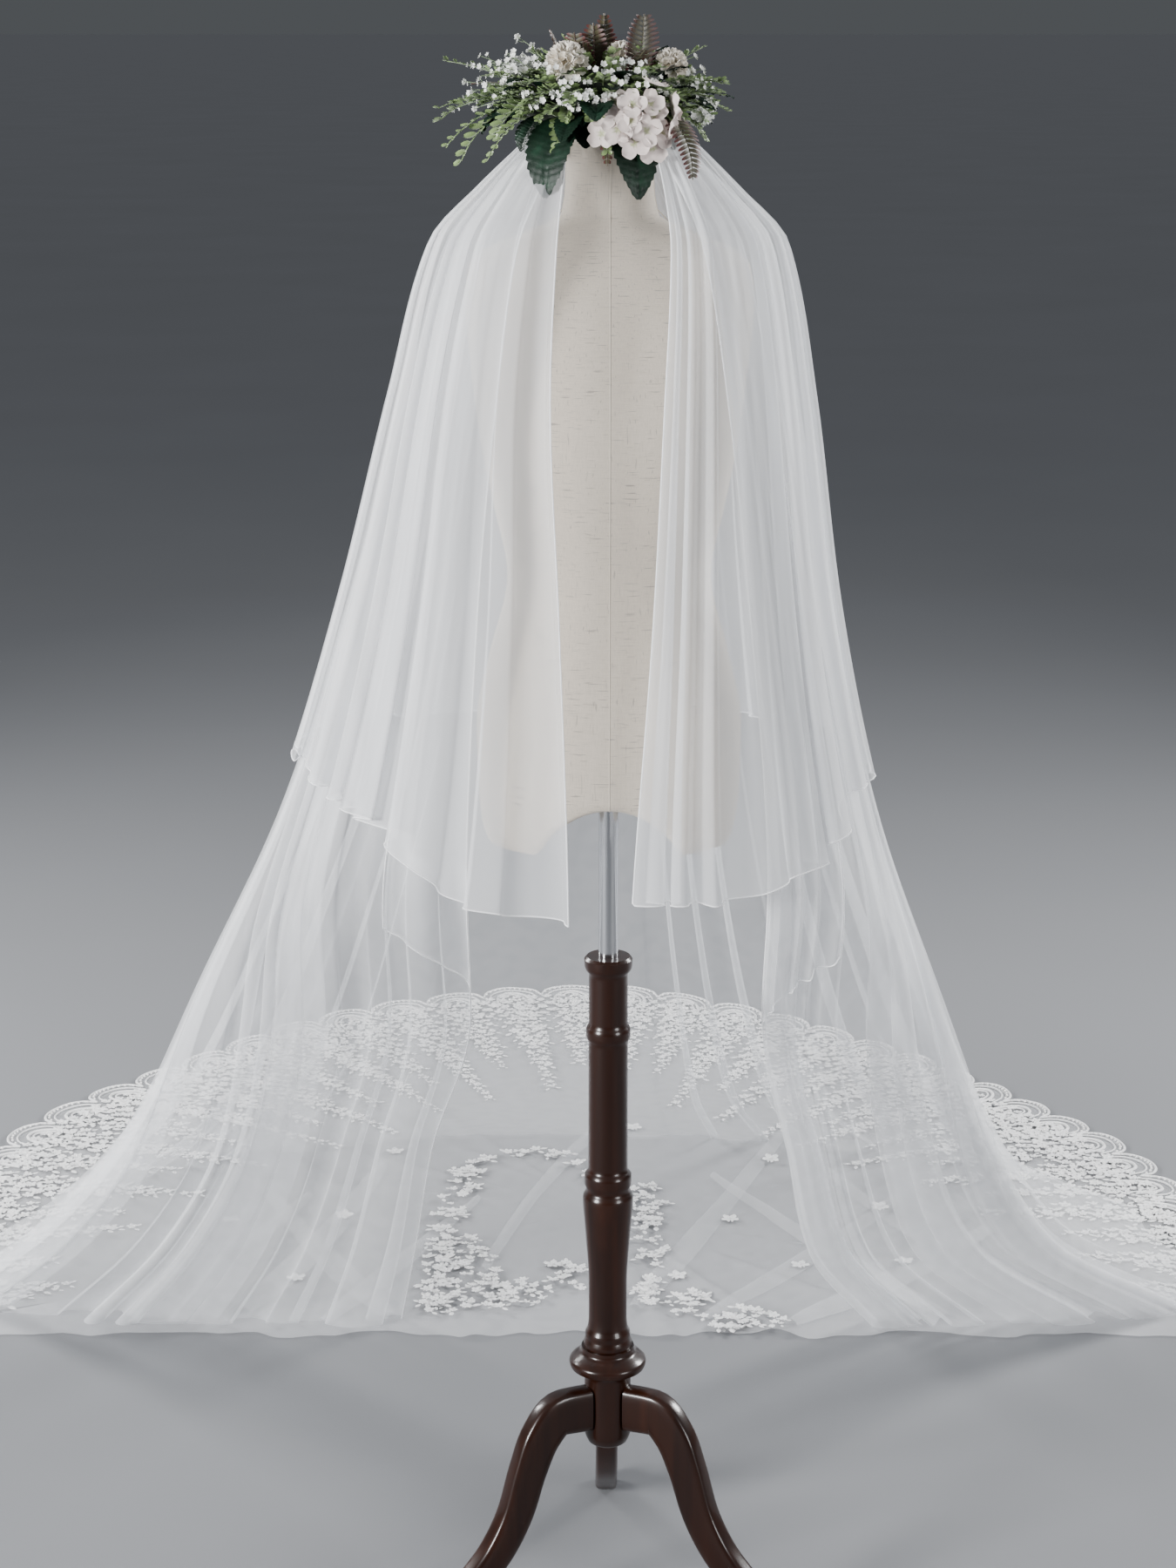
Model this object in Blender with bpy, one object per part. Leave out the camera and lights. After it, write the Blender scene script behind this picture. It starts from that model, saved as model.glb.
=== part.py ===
"""Two-tier bridal veil with a flower headpiece, on a limbless dress form with a tripod stand.

Metres, +Z up. Every mesh is measured from the form's upright axis, with the floor at z = 0, the
front of the veil towards -Y and its train towards +Y. The empty FormAxis then sets that axis in
front of the origin, which is the middle of the footprint.
"""

import math
from collections import namedtuple

import bmesh
import bpy
from mathutils import Vector
from mathutils.bvhtree import BVHTree

# Where the form's axis stands from the middle of the footprint
FORM_X = 0.0548
FORM_Y = -1.1371

# Gap that touching solids keep, and the thickness of cloth, measured level
GAP = 0.0003
CLOTH = 0.002
CORNER_CLOTH = 0.0014
FLOOR_CLOTH = 0.002

# Dress form
NECK_TOP = 1.868
ARCH_TOP = 1.105
FORM_BOTTOM = 1.045
ARCH_HALF_WIDTH = 0.085
# The arch dies away over this height
ARCH_FADE = 0.07
TORSO_SIDES = 24
POLE_RADIUS = 0.0125
POLE_SEAT_RADIUS = 0.018

# Stand
COLUMN_TOP = 0.891
COLUMN_FOOT = 0.3606
HUB_TOP = COLUMN_FOOT - GAP
STAND_SIDES = 16
LEG_HALF_WIDTH = 0.015
LEG_SIDES = 8
LEG_AZIMUTHS = {"rear": 90.0, "left": 210.0, "right": 330.0}

# Heading that both tiers are gathered to: a stitched band with a wider flange over it
BAND_HALF_X = 0.078
BAND_HALF_Y = 0.060
FLANGE_OUT = 0.012
FLANGE_LOW = 1.8853
FLANGE_TOP = 1.8953
HEADING_SIDES = 32

# Folds round each tier, points in each fold, and how much the folds differ in depth and spacing
LONG_FOLDS = 28
SHORT_FOLDS = 22
POINTS_PER_FOLD = 4
FOLD_UNEVENNESS = 0.26
FOLD_DRIFT = 0.35
# Share of each tier's width in one front panel, from its edge to its side
LONG_FRONT_SHARE = 0.32
SHORT_FRONT_SHARE = 0.34
CORNER_SQUARENESS = 0.80
QUARTER_STEPS = 20
# Step to either side over which a section's direction is taken, as a share of its width
DIRECTION_STEP = 0.004

# Train: laid round this centre, with a scalloped lace border
TRAIN_CENTRE_Y = 1.25
TRAIN_NEAR_Y = 0.765
NEAR_RIPPLE = 0.012
NEAR_RIPPLE_TURN = 23.0
# Spokes of the near hem between the border's two ends, and the share of each that stays flat
FRONT_SPOKES = 26
TRAIN_FLAT_SHARE = 0.9
# Azimuth where the border ends, and the gap there between its spoke and the near hem's
BORDER_END = 112.0
SPOKE_GAP = 0.3
SCALLOPS = 36
POINTS_PER_SCALLOP = 5
SCALLOP_DEPTH = 0.035
# Soft ridges that run out over the train and the inner share of its border
BORDER_RIDGE_SHARE = 0.4
RIDGE_HEIGHT = 0.006
RIDGES = 9
RIDGE_DRIFT = 0.6
RIDGE_END = 32.0
RIDGE_FADE = 3.0

# Flower headpiece: the hidden base is an ellipsoid that lies on the heading
BASE_CENTRE_X = -0.012
BASE_HALF = (0.105, 0.080, 0.0364)
BASE_CENTRE_Z = FLANGE_TOP + GAP + BASE_HALF[2]
BASE_SEGMENTS = (20, 10)
HEAD_SEGMENTS = (12, 7)
LOBE_DEPTH = 0.05
LEAF_THICKNESS = 0.0012
# How far a frond's two sides rise above its rib, as a share of their width
FROND_RISE = 0.18
# A piece of the headpiece is moved in towards the base, step by step, to this gap
SEAT_GAP = 0.0004
SEAT_STEPS = 12

Colour = namedtuple("Colour", "red green blue roughness metallic")
COLOURS = {
    "tulle": Colour(0.93, 0.94, 0.96, 0.60, 0.0),
    "lace": Colour(0.96, 0.96, 0.95, 0.70, 0.0),
    "linen": Colour(0.74, 0.68, 0.58, 0.90, 0.0),
    "chrome": Colour(0.78, 0.79, 0.80, 0.15, 1.0),
    "wood": Colour(0.10, 0.035, 0.018, 0.30, 0.0),
    "leaf": Colour(0.03, 0.12, 0.05, 0.55, 0.0),
    "fern": Colour(0.22, 0.07, 0.035, 0.60, 0.0),
    "sprig": Colour(0.30, 0.42, 0.16, 0.60, 0.0),
    "blossom": Colour(0.92, 0.86, 0.82, 0.70, 0.0),
}

# A level section of the long tier: how far its sides, back and two front edges reach, and how
# deep its folds are there
Tier = namedtuple("Tier", "z left right side_y back_y edge_lx edge_ly edge_rx edge_ry fold")
LONG_TIER = [
    Tier(1.885, -0.0793, 0.0793, 0.000, 0.0613, -0.052, -0.0463, 0.052, -0.0463, 0.000),
    Tier(1.835, -0.136, 0.133, 0.000, 0.088, -0.080, -0.086, 0.080, -0.086, 0.002),
    Tier(1.775, -0.187, 0.183, 0.000, 0.128, -0.105, -0.120, 0.105, -0.120, 0.003),
    Tier(1.600, -0.236, 0.215, 0.025, 0.180, -0.130, -0.120, 0.135, -0.120, 0.004),
    Tier(1.350, -0.311, 0.261, 0.090, 0.280, -0.155, -0.104, 0.165, -0.104, 0.005),
    Tier(1.050, -0.412, 0.333, 0.200, 0.440, -0.172, -0.085, 0.192, -0.085, 0.007),
    Tier(0.750, -0.550, 0.441, 0.350, 0.670, -0.180, 0.150, 0.204, 0.150, 0.012),
    Tier(0.450, -0.690, 0.565, 0.530, 0.970, -0.250, 0.430, 0.265, 0.420, 0.016),
    Tier(0.200, -0.866, 0.710, 0.740, 1.300, -0.290, 0.650, 0.320, 0.640, 0.018),
    Tier(0.0023, -1.060, 0.985, 0.930, 1.600, -0.325, 0.808, 0.435, 0.808, 0.018),
]
SHORT_TIER = [
    Tier(1.893, -0.0913, 0.0913, 0.000, 0.0733, -0.048, -0.0623, 0.048, -0.0623, 0.000),
    Tier(1.835, -0.152, 0.149, 0.000, 0.105, -0.055, -0.112, 0.061, -0.112, 0.002),
    Tier(1.775, -0.207, 0.204, 0.000, 0.146, -0.061, -0.146, 0.068, -0.146, 0.004),
    Tier(1.600, -0.257, 0.238, 0.025, 0.204, -0.068, -0.172, 0.061, -0.172, 0.006),
    Tier(1.350, -0.334, 0.284, 0.090, 0.308, -0.059, -0.166, 0.050, -0.166, 0.008),
    Tier(1.050, -0.438, 0.358, 0.200, 0.474, -0.050, -0.152, 0.030, -0.152, 0.010),
    Tier(0.900, -0.506, 0.416, 0.270, 0.580, -0.048, -0.145, 0.022, -0.145, 0.011),
]
# Rows of the short tier between its heading and its hem, as shares of that drop
SHORT_ROWS = [0.0, 0.065, 0.13, 0.32, 0.60, 1.0]
# Height of the short tier's hem from the left front edge, round the back, to the right one
Hem = namedtuple("Hem", "share z")
SHORT_HEM = [
    Hem(0.00, 0.976),
    Hem(0.04, 0.988),
    Hem(0.07, 1.000),
    Hem(0.10, 1.036),
    Hem(0.14, 1.081),
    Hem(0.18, 1.112),
    Hem(0.24, 1.128),
    Hem(0.36, 1.118),
    Hem(0.50, 1.100),
    Hem(0.66, 1.112),
    Hem(0.78, 1.108),
    Hem(0.82, 1.070),
    Hem(0.88, 1.020),
    Hem(0.94, 1.002),
    Hem(1.00, 1.006),
]
# The turned-back corner inside each front edge: how many of the long tier's columns it spans,
# the height of its tip on the edge, and of its hem at its far side
Corner = namedtuple("Corner", "name columns tip_z far_z")
CORNERS = [
    Corner("left", 8, 0.816, 0.935),
    Corner("right", 9, 0.755, 0.880),
]
# The long tier's last row that the corners use, and how far they lie outside it: at the
# heading, and further down past the drop
CORNER_LAST_ROW = 0.7
CORNER_OUT_TOP = 0.0035
CORNER_OUT_LOW = 0.0060
CORNER_OUT_DROP = 0.3
CORNER_HEM_CURVE = 0.7

# Torso sections: height, half width, and half depth in front and behind
Torso = namedtuple("Torso", "z half_width front back")
TORSO = [
    Torso(1.045, 0.148, 0.098, 0.098),
    Torso(1.060, 0.154, 0.103, 0.103),
    Torso(1.120, 0.160, 0.106, 0.110),
    Torso(1.190, 0.161, 0.106, 0.112),
    Torso(1.280, 0.144, 0.100, 0.100),
    Torso(1.375, 0.122, 0.092, 0.084),
    Torso(1.460, 0.138, 0.104, 0.088),
    Torso(1.550, 0.155, 0.116, 0.096),
    Torso(1.630, 0.164, 0.104, 0.098),
    Torso(1.700, 0.170, 0.086, 0.092),
    Torso(1.745, 0.164, 0.070, 0.078),
    Torso(1.768, 0.134, 0.060, 0.068),
    Torso(1.785, 0.086, 0.054, 0.060),
    Torso(1.802, 0.057, 0.049, 0.053),
    Torso(1.840, 0.051, 0.047, 0.050),
    Torso(1.866, 0.050, 0.046, 0.048),
    Torso(1.868, 0.048, 0.044, 0.046),
]

# Turned profiles, from the foot upwards
Turn = namedtuple("Turn", "z radius")
COLUMN = [
    Turn(0.3606, 0.0310),
    Turn(0.3670, 0.0315),
    Turn(0.3730, 0.0288),
    Turn(0.3790, 0.0295),
    Turn(0.3860, 0.0262),
    Turn(0.4010, 0.0246),
    Turn(0.4500, 0.0247),
    Turn(0.5200, 0.0290),
    Turn(0.5680, 0.0323),
    Turn(0.5790, 0.0278),
    Turn(0.5860, 0.0300),
    Turn(0.5980, 0.0300),
    Turn(0.6060, 0.0252),
    Turn(0.7790, 0.0249),
    Turn(0.7830, 0.0280),
    Turn(0.7960, 0.0280),
    Turn(0.8010, 0.0246),
    Turn(0.8680, 0.0244),
    Turn(0.8750, 0.0296),
    Turn(0.8870, 0.0303),
    Turn(0.8910, 0.0272),
]
HUB = [
    Turn(0.2214, 0.0180),
    Turn(0.2260, 0.0255),
    Turn(0.2400, 0.0300),
    Turn(0.3180, 0.0300),
    Turn(0.3260, 0.0340),
    Turn(0.3320, 0.0480),
    Turn(0.3400, 0.0500),
    Turn(0.3470, 0.0440),
    Turn(0.3540, 0.0350),
    Turn(HUB_TOP, 0.0340),
]
# The curved leg: how far its middle is from the axis, its height and its half thickness
Leg = namedtuple("Leg", "reach z half")
LEG = [
    Leg(0.0303, 0.2780, 0.0300),
    Leg(0.0700, 0.2810, 0.0290),
    Leg(0.0990, 0.2560, 0.0270),
    Leg(0.1190, 0.2120, 0.0245),
    Leg(0.1380, 0.1560, 0.0230),
    Leg(0.1680, 0.1060, 0.0215),
    Leg(0.2100, 0.0670, 0.0185),
    Leg(0.2500, 0.0350, 0.0150),
    Leg(0.2780, 0.0150, 0.0150),
    Leg(0.3060, 0.0110, 0.0110),
]

# The train's outer edge: azimuth from straight back, positive to the right, and reach
Reach = namedtuple("Reach", "azimuth reach border")
TRAIN = [
    Reach(-180.0, 0.500, 0.000),
    Reach(-112.0, 1.150, 0.220),
    Reach(-90.0, 1.170, 0.430),
    Reach(-71.0, 1.160, 0.540),
    Reach(-50.0, 1.120, 0.600),
    Reach(-25.0, 1.180, 0.620),
    Reach(0.0, 1.205, 0.620),
    Reach(15.0, 1.120, 0.600),
    Reach(35.0, 1.020, 0.560),
    Reach(55.0, 0.980, 0.520),
    Reach(75.0, 1.020, 0.480),
    Reach(90.0, 1.050, 0.400),
    Reach(112.0, 1.110, 0.220),
    Reach(180.0, 0.500, 0.000),
]
# The arched lace band of the turned-under front edges, which lies inside the tent
BAND_CENTRE = (-0.085, 0.835)
BAND_REACH = (0.185, 0.620)
BAND_WIDTH = 0.075
BAND_STEPS = 24

# Flower heads on the base: azimuth (-90 is the front), lift and radius
Head = namedtuple("Head", "name azimuth lift radius lobes")
HEADS = [
    Head("hydrangea", -66.0, -6.0, 0.0340, 5),
    Head("carnation_left", -116.0, 42.0, 0.0240, 6),
    Head("rose_right", -62.0, 62.0, 0.0190, 5),
    Head("rose_far_right", -22.0, 40.0, 0.0200, 5),
    Head("blossom_left", -158.0, 28.0, 0.0190, 4),
    Head("blossom_right", -12.0, -8.0, 0.0180, 4),
    Head("blossom_back_left", 140.0, 20.0, 0.0230, 5),
    Head("blossom_back", 90.0, 24.0, 0.0250, 6),
    Head("blossom_back_right", 40.0, 18.0, 0.0220, 5),
]
# Leaves, ferns and sprigs: where they leave the base, how they point, their size, how far they
# bend down along their length (degrees), and how many lobes show on each side
Frond = namedtuple("Frond", "name kind azimuth lift pitch length width droop lobes")
FRONDS = [
    Frond("leaf_front_left", "leaf", -128.0, -22.0, -10.0, 0.112, 0.052, 88.0, 4),
    Frond("leaf_front_middle", "leaf", -92.0, 0.0, 22.0, 0.050, 0.038, 60.0, 3),
    Frond("leaf_front_right", "leaf", -96.0, -34.0, -16.0, 0.098, 0.050, 82.0, 4),
    Frond("leaf_right", "leaf", 8.0, 8.0, 12.0, 0.058, 0.036, 30.0, 3),
    Frond("leaf_left", "leaf", -172.0, -14.0, -5.0, 0.058, 0.038, 36.0, 3),
    Frond("leaf_back_left", "leaf", 116.0, -10.0, -5.0, 0.060, 0.044, 40.0, 3),
    Frond("leaf_back_right", "leaf", 66.0, -10.0, -5.0, 0.060, 0.044, 40.0, 3),
    Frond("fern_up_left", "fern", -100.0, 78.0, 84.0, 0.062, 0.034, -6.0, 6),
    Frond("fern_up_right", "fern", 20.0, 80.0, 82.0, 0.058, 0.034, 10.0, 6),
    Frond("fern_up_small", "fern", 172.0, 66.0, 76.0, 0.046, 0.022, 10.0, 5),
    Frond("fern_right_low", "fern", -45.0, -4.0, 0.0, 0.120, 0.032, 96.0, 7),
    Frond("sprig_left_high", "sprig", 170.0, 30.0, 26.0, 0.090, 0.040, 20.0, 5),
    Frond("sprig_left_low", "sprig", 186.0, 4.0, 8.0, 0.080, 0.040, 34.0, 5),
    Frond("sprig_right_high", "sprig", 18.0, 46.0, 44.0, 0.066, 0.036, 24.0, 5),
]
# A frond's outline: where its root and tip lie along a half wave, how full the wave is, the
# least half width, and how deep its notches are, as shares of its half width
Outline = namedtuple("Outline", "start span fullness least notch")
OUTLINES = {
    "leaf": Outline(0.06, 0.92, 0.80, 0.12, 0.10),
    "fern": Outline(0.10, 0.86, 0.60, 0.08, 0.62),
    "sprig": Outline(0.14, 0.74, 0.50, 0.07, 0.74),
}


def clear_scene():
    for thing in list(bpy.data.objects):
        bpy.data.objects.remove(thing, do_unlink=True)


def material_of(key):
    """The part's plain material of that name."""
    found = bpy.data.materials.get(key)
    if found is not None:
        return found
    made = bpy.data.materials.new(key)
    made.use_nodes = True
    shader = made.node_tree.nodes["Principled BSDF"]
    c = COLOURS[key]
    shader.inputs["Base Color"].default_value = (c.red, c.green, c.blue, 1.0)
    shader.inputs["Roughness"].default_value = c.roughness
    shader.inputs["Metallic"].default_value = c.metallic
    return made


def finish(name, bm, material, parent, sharp=40.0):
    """Turns a bmesh into a named object under parent, with its faces outward."""
    bmesh.ops.recalc_face_normals(bm, faces=bm.faces)
    mesh = bpy.data.meshes.new(name)
    bm.to_mesh(mesh)
    bm.free()
    mesh.materials.append(material_of(material))
    mesh.shade_smooth()
    mesh.set_sharp_from_angle(angle=math.radians(sharp))
    thing = bpy.data.objects.new(name, mesh)
    bpy.context.collection.objects.link(thing)
    thing.parent = parent
    return thing


def blend(rows, key, at, ease=False):
    """Every column of a table, read between its rows where the column key equals at."""
    rows = sorted(rows, key=lambda row: getattr(row, key))
    for low, high in zip(rows, rows[1:]):
        if at <= getattr(high, key):
            break
    span = getattr(high, key) - getattr(low, key)
    share = min(max((at - getattr(low, key)) / span, 0.0), 1.0)
    if ease:
        share = share * share * (3.0 - 2.0 * share)
    mixed = [a + (b - a) * share for a, b in zip(low, high)]
    return type(low)(*mixed)


def quarter(start, end):
    """A squarish quarter curve that leaves start along X and reaches end along Y."""
    curve = []
    for i in range(QUARTER_STEPS + 1):
        turn = math.pi / 2 * i / QUARTER_STEPS
        x = start[0] + (end[0] - start[0]) * math.sin(turn) ** CORNER_SQUARENESS
        y = end[1] + (start[1] - end[1]) * max(math.cos(turn), 0.0) ** CORNER_SQUARENESS
        curve.append(Vector((x, y)))
    return curve


def along_curve(curve, share):
    """The point at that share of a curve's length."""
    steps = [(b - a).length for a, b in zip(curve, curve[1:])]
    left = min(max(share, 0.0), 1.0) * sum(steps)
    for a, b, step in zip(curve, curve[1:], steps):
        if left <= step:
            break
        left -= step
    return a.lerp(b, min(left / step, 1.0))


def section_curves(row):
    """A tier's smooth section: front and back quarters on the left, then on the right."""
    middle = (0.0, row.back_y)
    left, right = (row.left, row.side_y), (row.right, row.side_y)
    return (
        quarter((row.edge_lx, row.edge_ly), left),
        quarter(middle, left),
        quarter(middle, right),
        quarter((row.edge_rx, row.edge_ry), right),
    )


def section_point(curves, share, front_share):
    """A point of the section, from its left edge (0) round the back to its right edge (1)."""
    front_left, back_left, back_right, front_right = curves
    back_share = 0.5 - front_share
    if share <= front_share:
        return along_curve(front_left, share / front_share)
    if share <= 0.5:
        return along_curve(back_left, (0.5 - share) / back_share)
    if share <= 1.0 - front_share:
        return along_curve(back_right, (share - 0.5) / back_share)
    return along_curve(front_right, (1.0 - share) / front_share)


def fold_wave(share, folds):
    """The folds of a gathered tier, -1 to 1: uneven in spacing and in depth."""
    drift = FOLD_DRIFT * math.sin(2 * math.pi * 3 * share + 0.7)
    depth = 1.0 + FOLD_UNEVENNESS * (math.sin(2 * math.pi * 5 * share + 1.9) - 1.0)
    return depth * math.sin(2 * math.pi * (folds * share) + drift)


def normals_of(points):
    """Level unit vectors that point out of an open curve, which runs anticlockwise from -X."""
    found = []
    last = len(points) - 1
    for i in range(len(points)):
        before = points[max(i - 1, 0)]
        after = points[min(i + 1, last)]
        along = Vector((after[0] - before[0], after[1] - before[1])).normalized()
        found.append(Vector((-along.y, along.x)))
    return found


def tier_point(row, curves, folds, front_share, share, clear=0.0):
    """A point in the middle of a tier's wall, or clear of it: its section moved out in folds."""
    nearby = [max(share - DIRECTION_STEP, 0.0), share, min(share + DIRECTION_STEP, 1.0)]
    smooth = [section_point(curves, at, front_share) for at in nearby]
    out = normals_of(smooth)[1]
    x, y = smooth[1] + out * (clear + row.fold * fold_wave(share, folds))
    return Vector((x, y, row.z))


def tier_ring(row, folds, front_share, shares, clear=0.0):
    """A tier's wall at one height."""
    curves = section_curves(row)
    return [tier_point(row, curves, folds, front_share, share, clear) for share in shares]


def wall(name, rows, material, parent, thickness=CLOTH):
    """One closed wall round a grid of points: each row is moved out and in, level.

    A hem can slant, so it moves the same way as the row above it.
    """
    bm = bmesh.new()
    outwards = [normals_of([p.xy for p in row]) for row in rows[:-1]]
    outwards.append(outwards[-1])
    sides = []
    for sign in (0.5, -0.5):
        side = []
        for row, outward in zip(rows, outwards):
            moved = []
            for p, out in zip(row, outward):
                step = sign * thickness
                moved.append(bm.verts.new((p.x + out.x * step, p.y + out.y * step, p.z)))
            side.append(moved)
        sides.append(side)
    outer, inner = sides
    for i in range(len(rows) - 1):
        for j in range(len(rows[0]) - 1):
            for side in sides:
                a, b = side[i][j], side[i][j + 1]
                c, d = side[i + 1][j + 1], side[i + 1][j]
                bm.faces.new((a, b, c))
                bm.faces.new((a, c, d))
    last_row, last_column = len(rows) - 1, len(rows[0]) - 1
    for j in range(last_column):
        for i in (0, last_row):
            bm.faces.new((outer[i][j], outer[i][j + 1], inner[i][j + 1], inner[i][j]))
    for i in range(last_row):
        for j in (0, last_column):
            bm.faces.new((outer[i][j], outer[i + 1][j], inner[i + 1][j], inner[i][j]))
    return finish(name, bm, material, parent, sharp=75.0)


def even_shares(folds):
    count = folds * POINTS_PER_FOLD
    return [i / count for i in range(count + 1)]


def build_long_tier(parent):
    shares = even_shares(LONG_FOLDS)
    rows = [tier_ring(row, LONG_FOLDS, LONG_FRONT_SHARE, shares) for row in LONG_TIER]
    wall("long_tier", rows, "tulle", parent)


def build_short_tier(parent):
    """The short tier ends at its own hem, so each of its columns is read at its own heights."""
    shares = even_shares(SHORT_FOLDS)
    top = SHORT_TIER[0].z
    rows = [[] for _ in SHORT_ROWS]
    for share in shares:
        hem = blend(SHORT_HEM, "share", share, ease=True).z
        for row, drop in zip(rows, SHORT_ROWS):
            level = blend(SHORT_TIER, "z", top + (hem - top) * drop)
            curves = section_curves(level)
            row.append(tier_point(level, curves, SHORT_FOLDS, SHORT_FRONT_SHARE, share))
    wall("short_tier", rows, "tulle", parent)


def build_corners(parent):
    """The turned-back corners: the long tier's own points near each front edge, moved out."""
    shares = even_shares(LONG_FOLDS)
    rings = []
    for row in LONG_TIER:
        if row.z > CORNER_LAST_ROW:
            drop = min((LONG_TIER[0].z - row.z) / CORNER_OUT_DROP, 1.0)
            clear = CORNER_OUT_TOP + (CORNER_OUT_LOW - CORNER_OUT_TOP) * drop
            rings.append(tier_ring(row, LONG_FOLDS, LONG_FRONT_SHARE, shares, clear))
    for corner in CORNERS:
        picked = range(corner.columns + 1)
        if corner.name == "right":
            picked = range(len(shares) - 1 - corner.columns, len(shares))
        edge = picked[0] if corner.name == "left" else picked[-1]
        rows = [[ring[j] for j in picked] for ring in rings]
        last, lowest = rows[-2], rows[-1]
        hem = []
        for j, high, low in zip(picked, last, lowest):
            across = abs(j - edge) / corner.columns
            z = corner.tip_z + (corner.far_z - corner.tip_z) * across ** CORNER_HEM_CURVE
            hem.append(high.lerp(low, (high.z - z) / (high.z - low.z)))
        rows[-1] = hem
        wall(f"short_tier_corner_{corner.name}", rows, "tulle", parent, CORNER_CLOTH)


def train_point(azimuth, reach):
    a = math.radians(azimuth)
    return reach * math.sin(a), TRAIN_CENTRE_Y + reach * math.cos(a)


def near_reach(azimuth):
    """How far the near hem is from the train's centre, a rippled line across the front."""
    x_per_reach = math.sin(math.radians(azimuth))
    y_per_reach = -math.cos(math.radians(azimuth))
    straight = (TRAIN_CENTRE_Y - TRAIN_NEAR_Y) / max(y_per_reach, 0.05)
    return straight + NEAR_RIPPLE * math.sin(NEAR_RIPPLE_TURN * straight * x_per_reach)


def inner_reach(azimuth):
    """Where the plain train ends: at the lace border, or at the near hem across the front."""
    if abs(azimuth) <= BORDER_END:
        row = blend(TRAIN, "azimuth", azimuth)
        return row.reach - row.border
    at_end = blend(TRAIN, "azimuth", math.copysign(BORDER_END, azimuth)).reach
    return min(near_reach(azimuth), at_end)


def ridge(azimuth):
    """Height of the soft ridges that run out over the train, clear of where the tent stands."""
    fade = min(max(0.0, 1.0 - abs(azimuth) / RIDGE_END) * RIDGE_FADE, 1.0)
    around = math.radians(azimuth)
    wave = math.sin(around * RIDGES + RIDGE_DRIFT * math.sin(around * 4))
    return RIDGE_HEIGHT * fade * max(wave, 0.0)


def scallop_azimuth(number):
    return -BORDER_END + 2.0 * BORDER_END * number / SCALLOPS


def build_train(parent):
    """The plain tulle that lies on the floor: flat below, softly ridged towards its border."""
    bm = bmesh.new()
    azimuths = [scallop_azimuth(number) for number in range(SCALLOPS + 1)]
    front_start = BORDER_END + SPOKE_GAP
    for i in range(FRONT_SPOKES + 1):
        azimuth = front_start + (360.0 - 2.0 * front_start) * i / FRONT_SPOKES
        azimuths.append(azimuth if azimuth <= 180.0 else azimuth - 360.0)
    azimuths.sort()
    top_centre = bm.verts.new((0.0, TRAIN_CENTRE_Y, FLOOR_CLOTH))
    low_centre = bm.verts.new((0.0, TRAIN_CENTRE_Y, 0.0))
    inner, outer, low = [], [], []
    for azimuth in azimuths:
        reach = inner_reach(azimuth)
        x, y = train_point(azimuth, reach)
        outer.append(bm.verts.new((x, y, FLOOR_CLOTH + ridge(azimuth))))
        low.append(bm.verts.new((x, y, 0.0)))
        x, y = train_point(azimuth, reach * TRAIN_FLAT_SHARE)
        inner.append(bm.verts.new((x, y, FLOOR_CLOTH)))
    count = len(azimuths)
    for i in range(count):
        j = (i + 1) % count
        bm.faces.new((top_centre, inner[i], inner[j]))
        bm.faces.new((inner[i], outer[i], outer[j], inner[j]))
        bm.faces.new((outer[i], low[i], low[j], outer[j]))
        bm.faces.new((low_centre, low[j], low[i]))
    finish("train", bm, "tulle", parent)


def scallop_reach(phase):
    """How far a scallop stands back from its tip: a round arch between two notches."""
    return SCALLOP_DEPTH * (math.sqrt(max(1.0 - (2.0 * phase - 1.0) ** 2, 0.0)) - 1.0)


def border_point(bm, azimuth, reach, z):
    x, y = train_point(azimuth, reach)
    return bm.verts.new((x, y, z))


def border_start(bm, number):
    """The border's points on one spoke: its inner edge below and above, and its ridge's end."""
    azimuth = scallop_azimuth(number)
    start = inner_reach(azimuth) + 2 * GAP
    end = blend(TRAIN, "azimuth", azimuth, ease=True).reach - SCALLOP_DEPTH
    middle = start + (end - start) * BORDER_RIDGE_SHARE
    top = FLOOR_CLOTH + ridge(azimuth)
    return (
        border_point(bm, azimuth, start, 0.0),
        border_point(bm, azimuth, start, top),
        border_point(bm, azimuth, middle, top),
    )


def border_edge(bm, number, phase):
    """Top and bottom points of the border's scalloped outer edge."""
    azimuth = scallop_azimuth(number + phase)
    reach = blend(TRAIN, "azimuth", azimuth, ease=True).reach + scallop_reach(phase)
    top = border_point(bm, azimuth, reach, FLOOR_CLOTH)
    return top, border_point(bm, azimuth, reach, 0.0)


def border_fan(bm, near, low_near, part):
    """Faces from one inner point out to its part of a scallop's edge, above and below."""
    for (top_c, low_c), (top_d, low_d) in zip(part, part[1:]):
        bm.faces.new((near, top_c, top_d))
        bm.faces.new((low_near, low_c, low_d))


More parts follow.
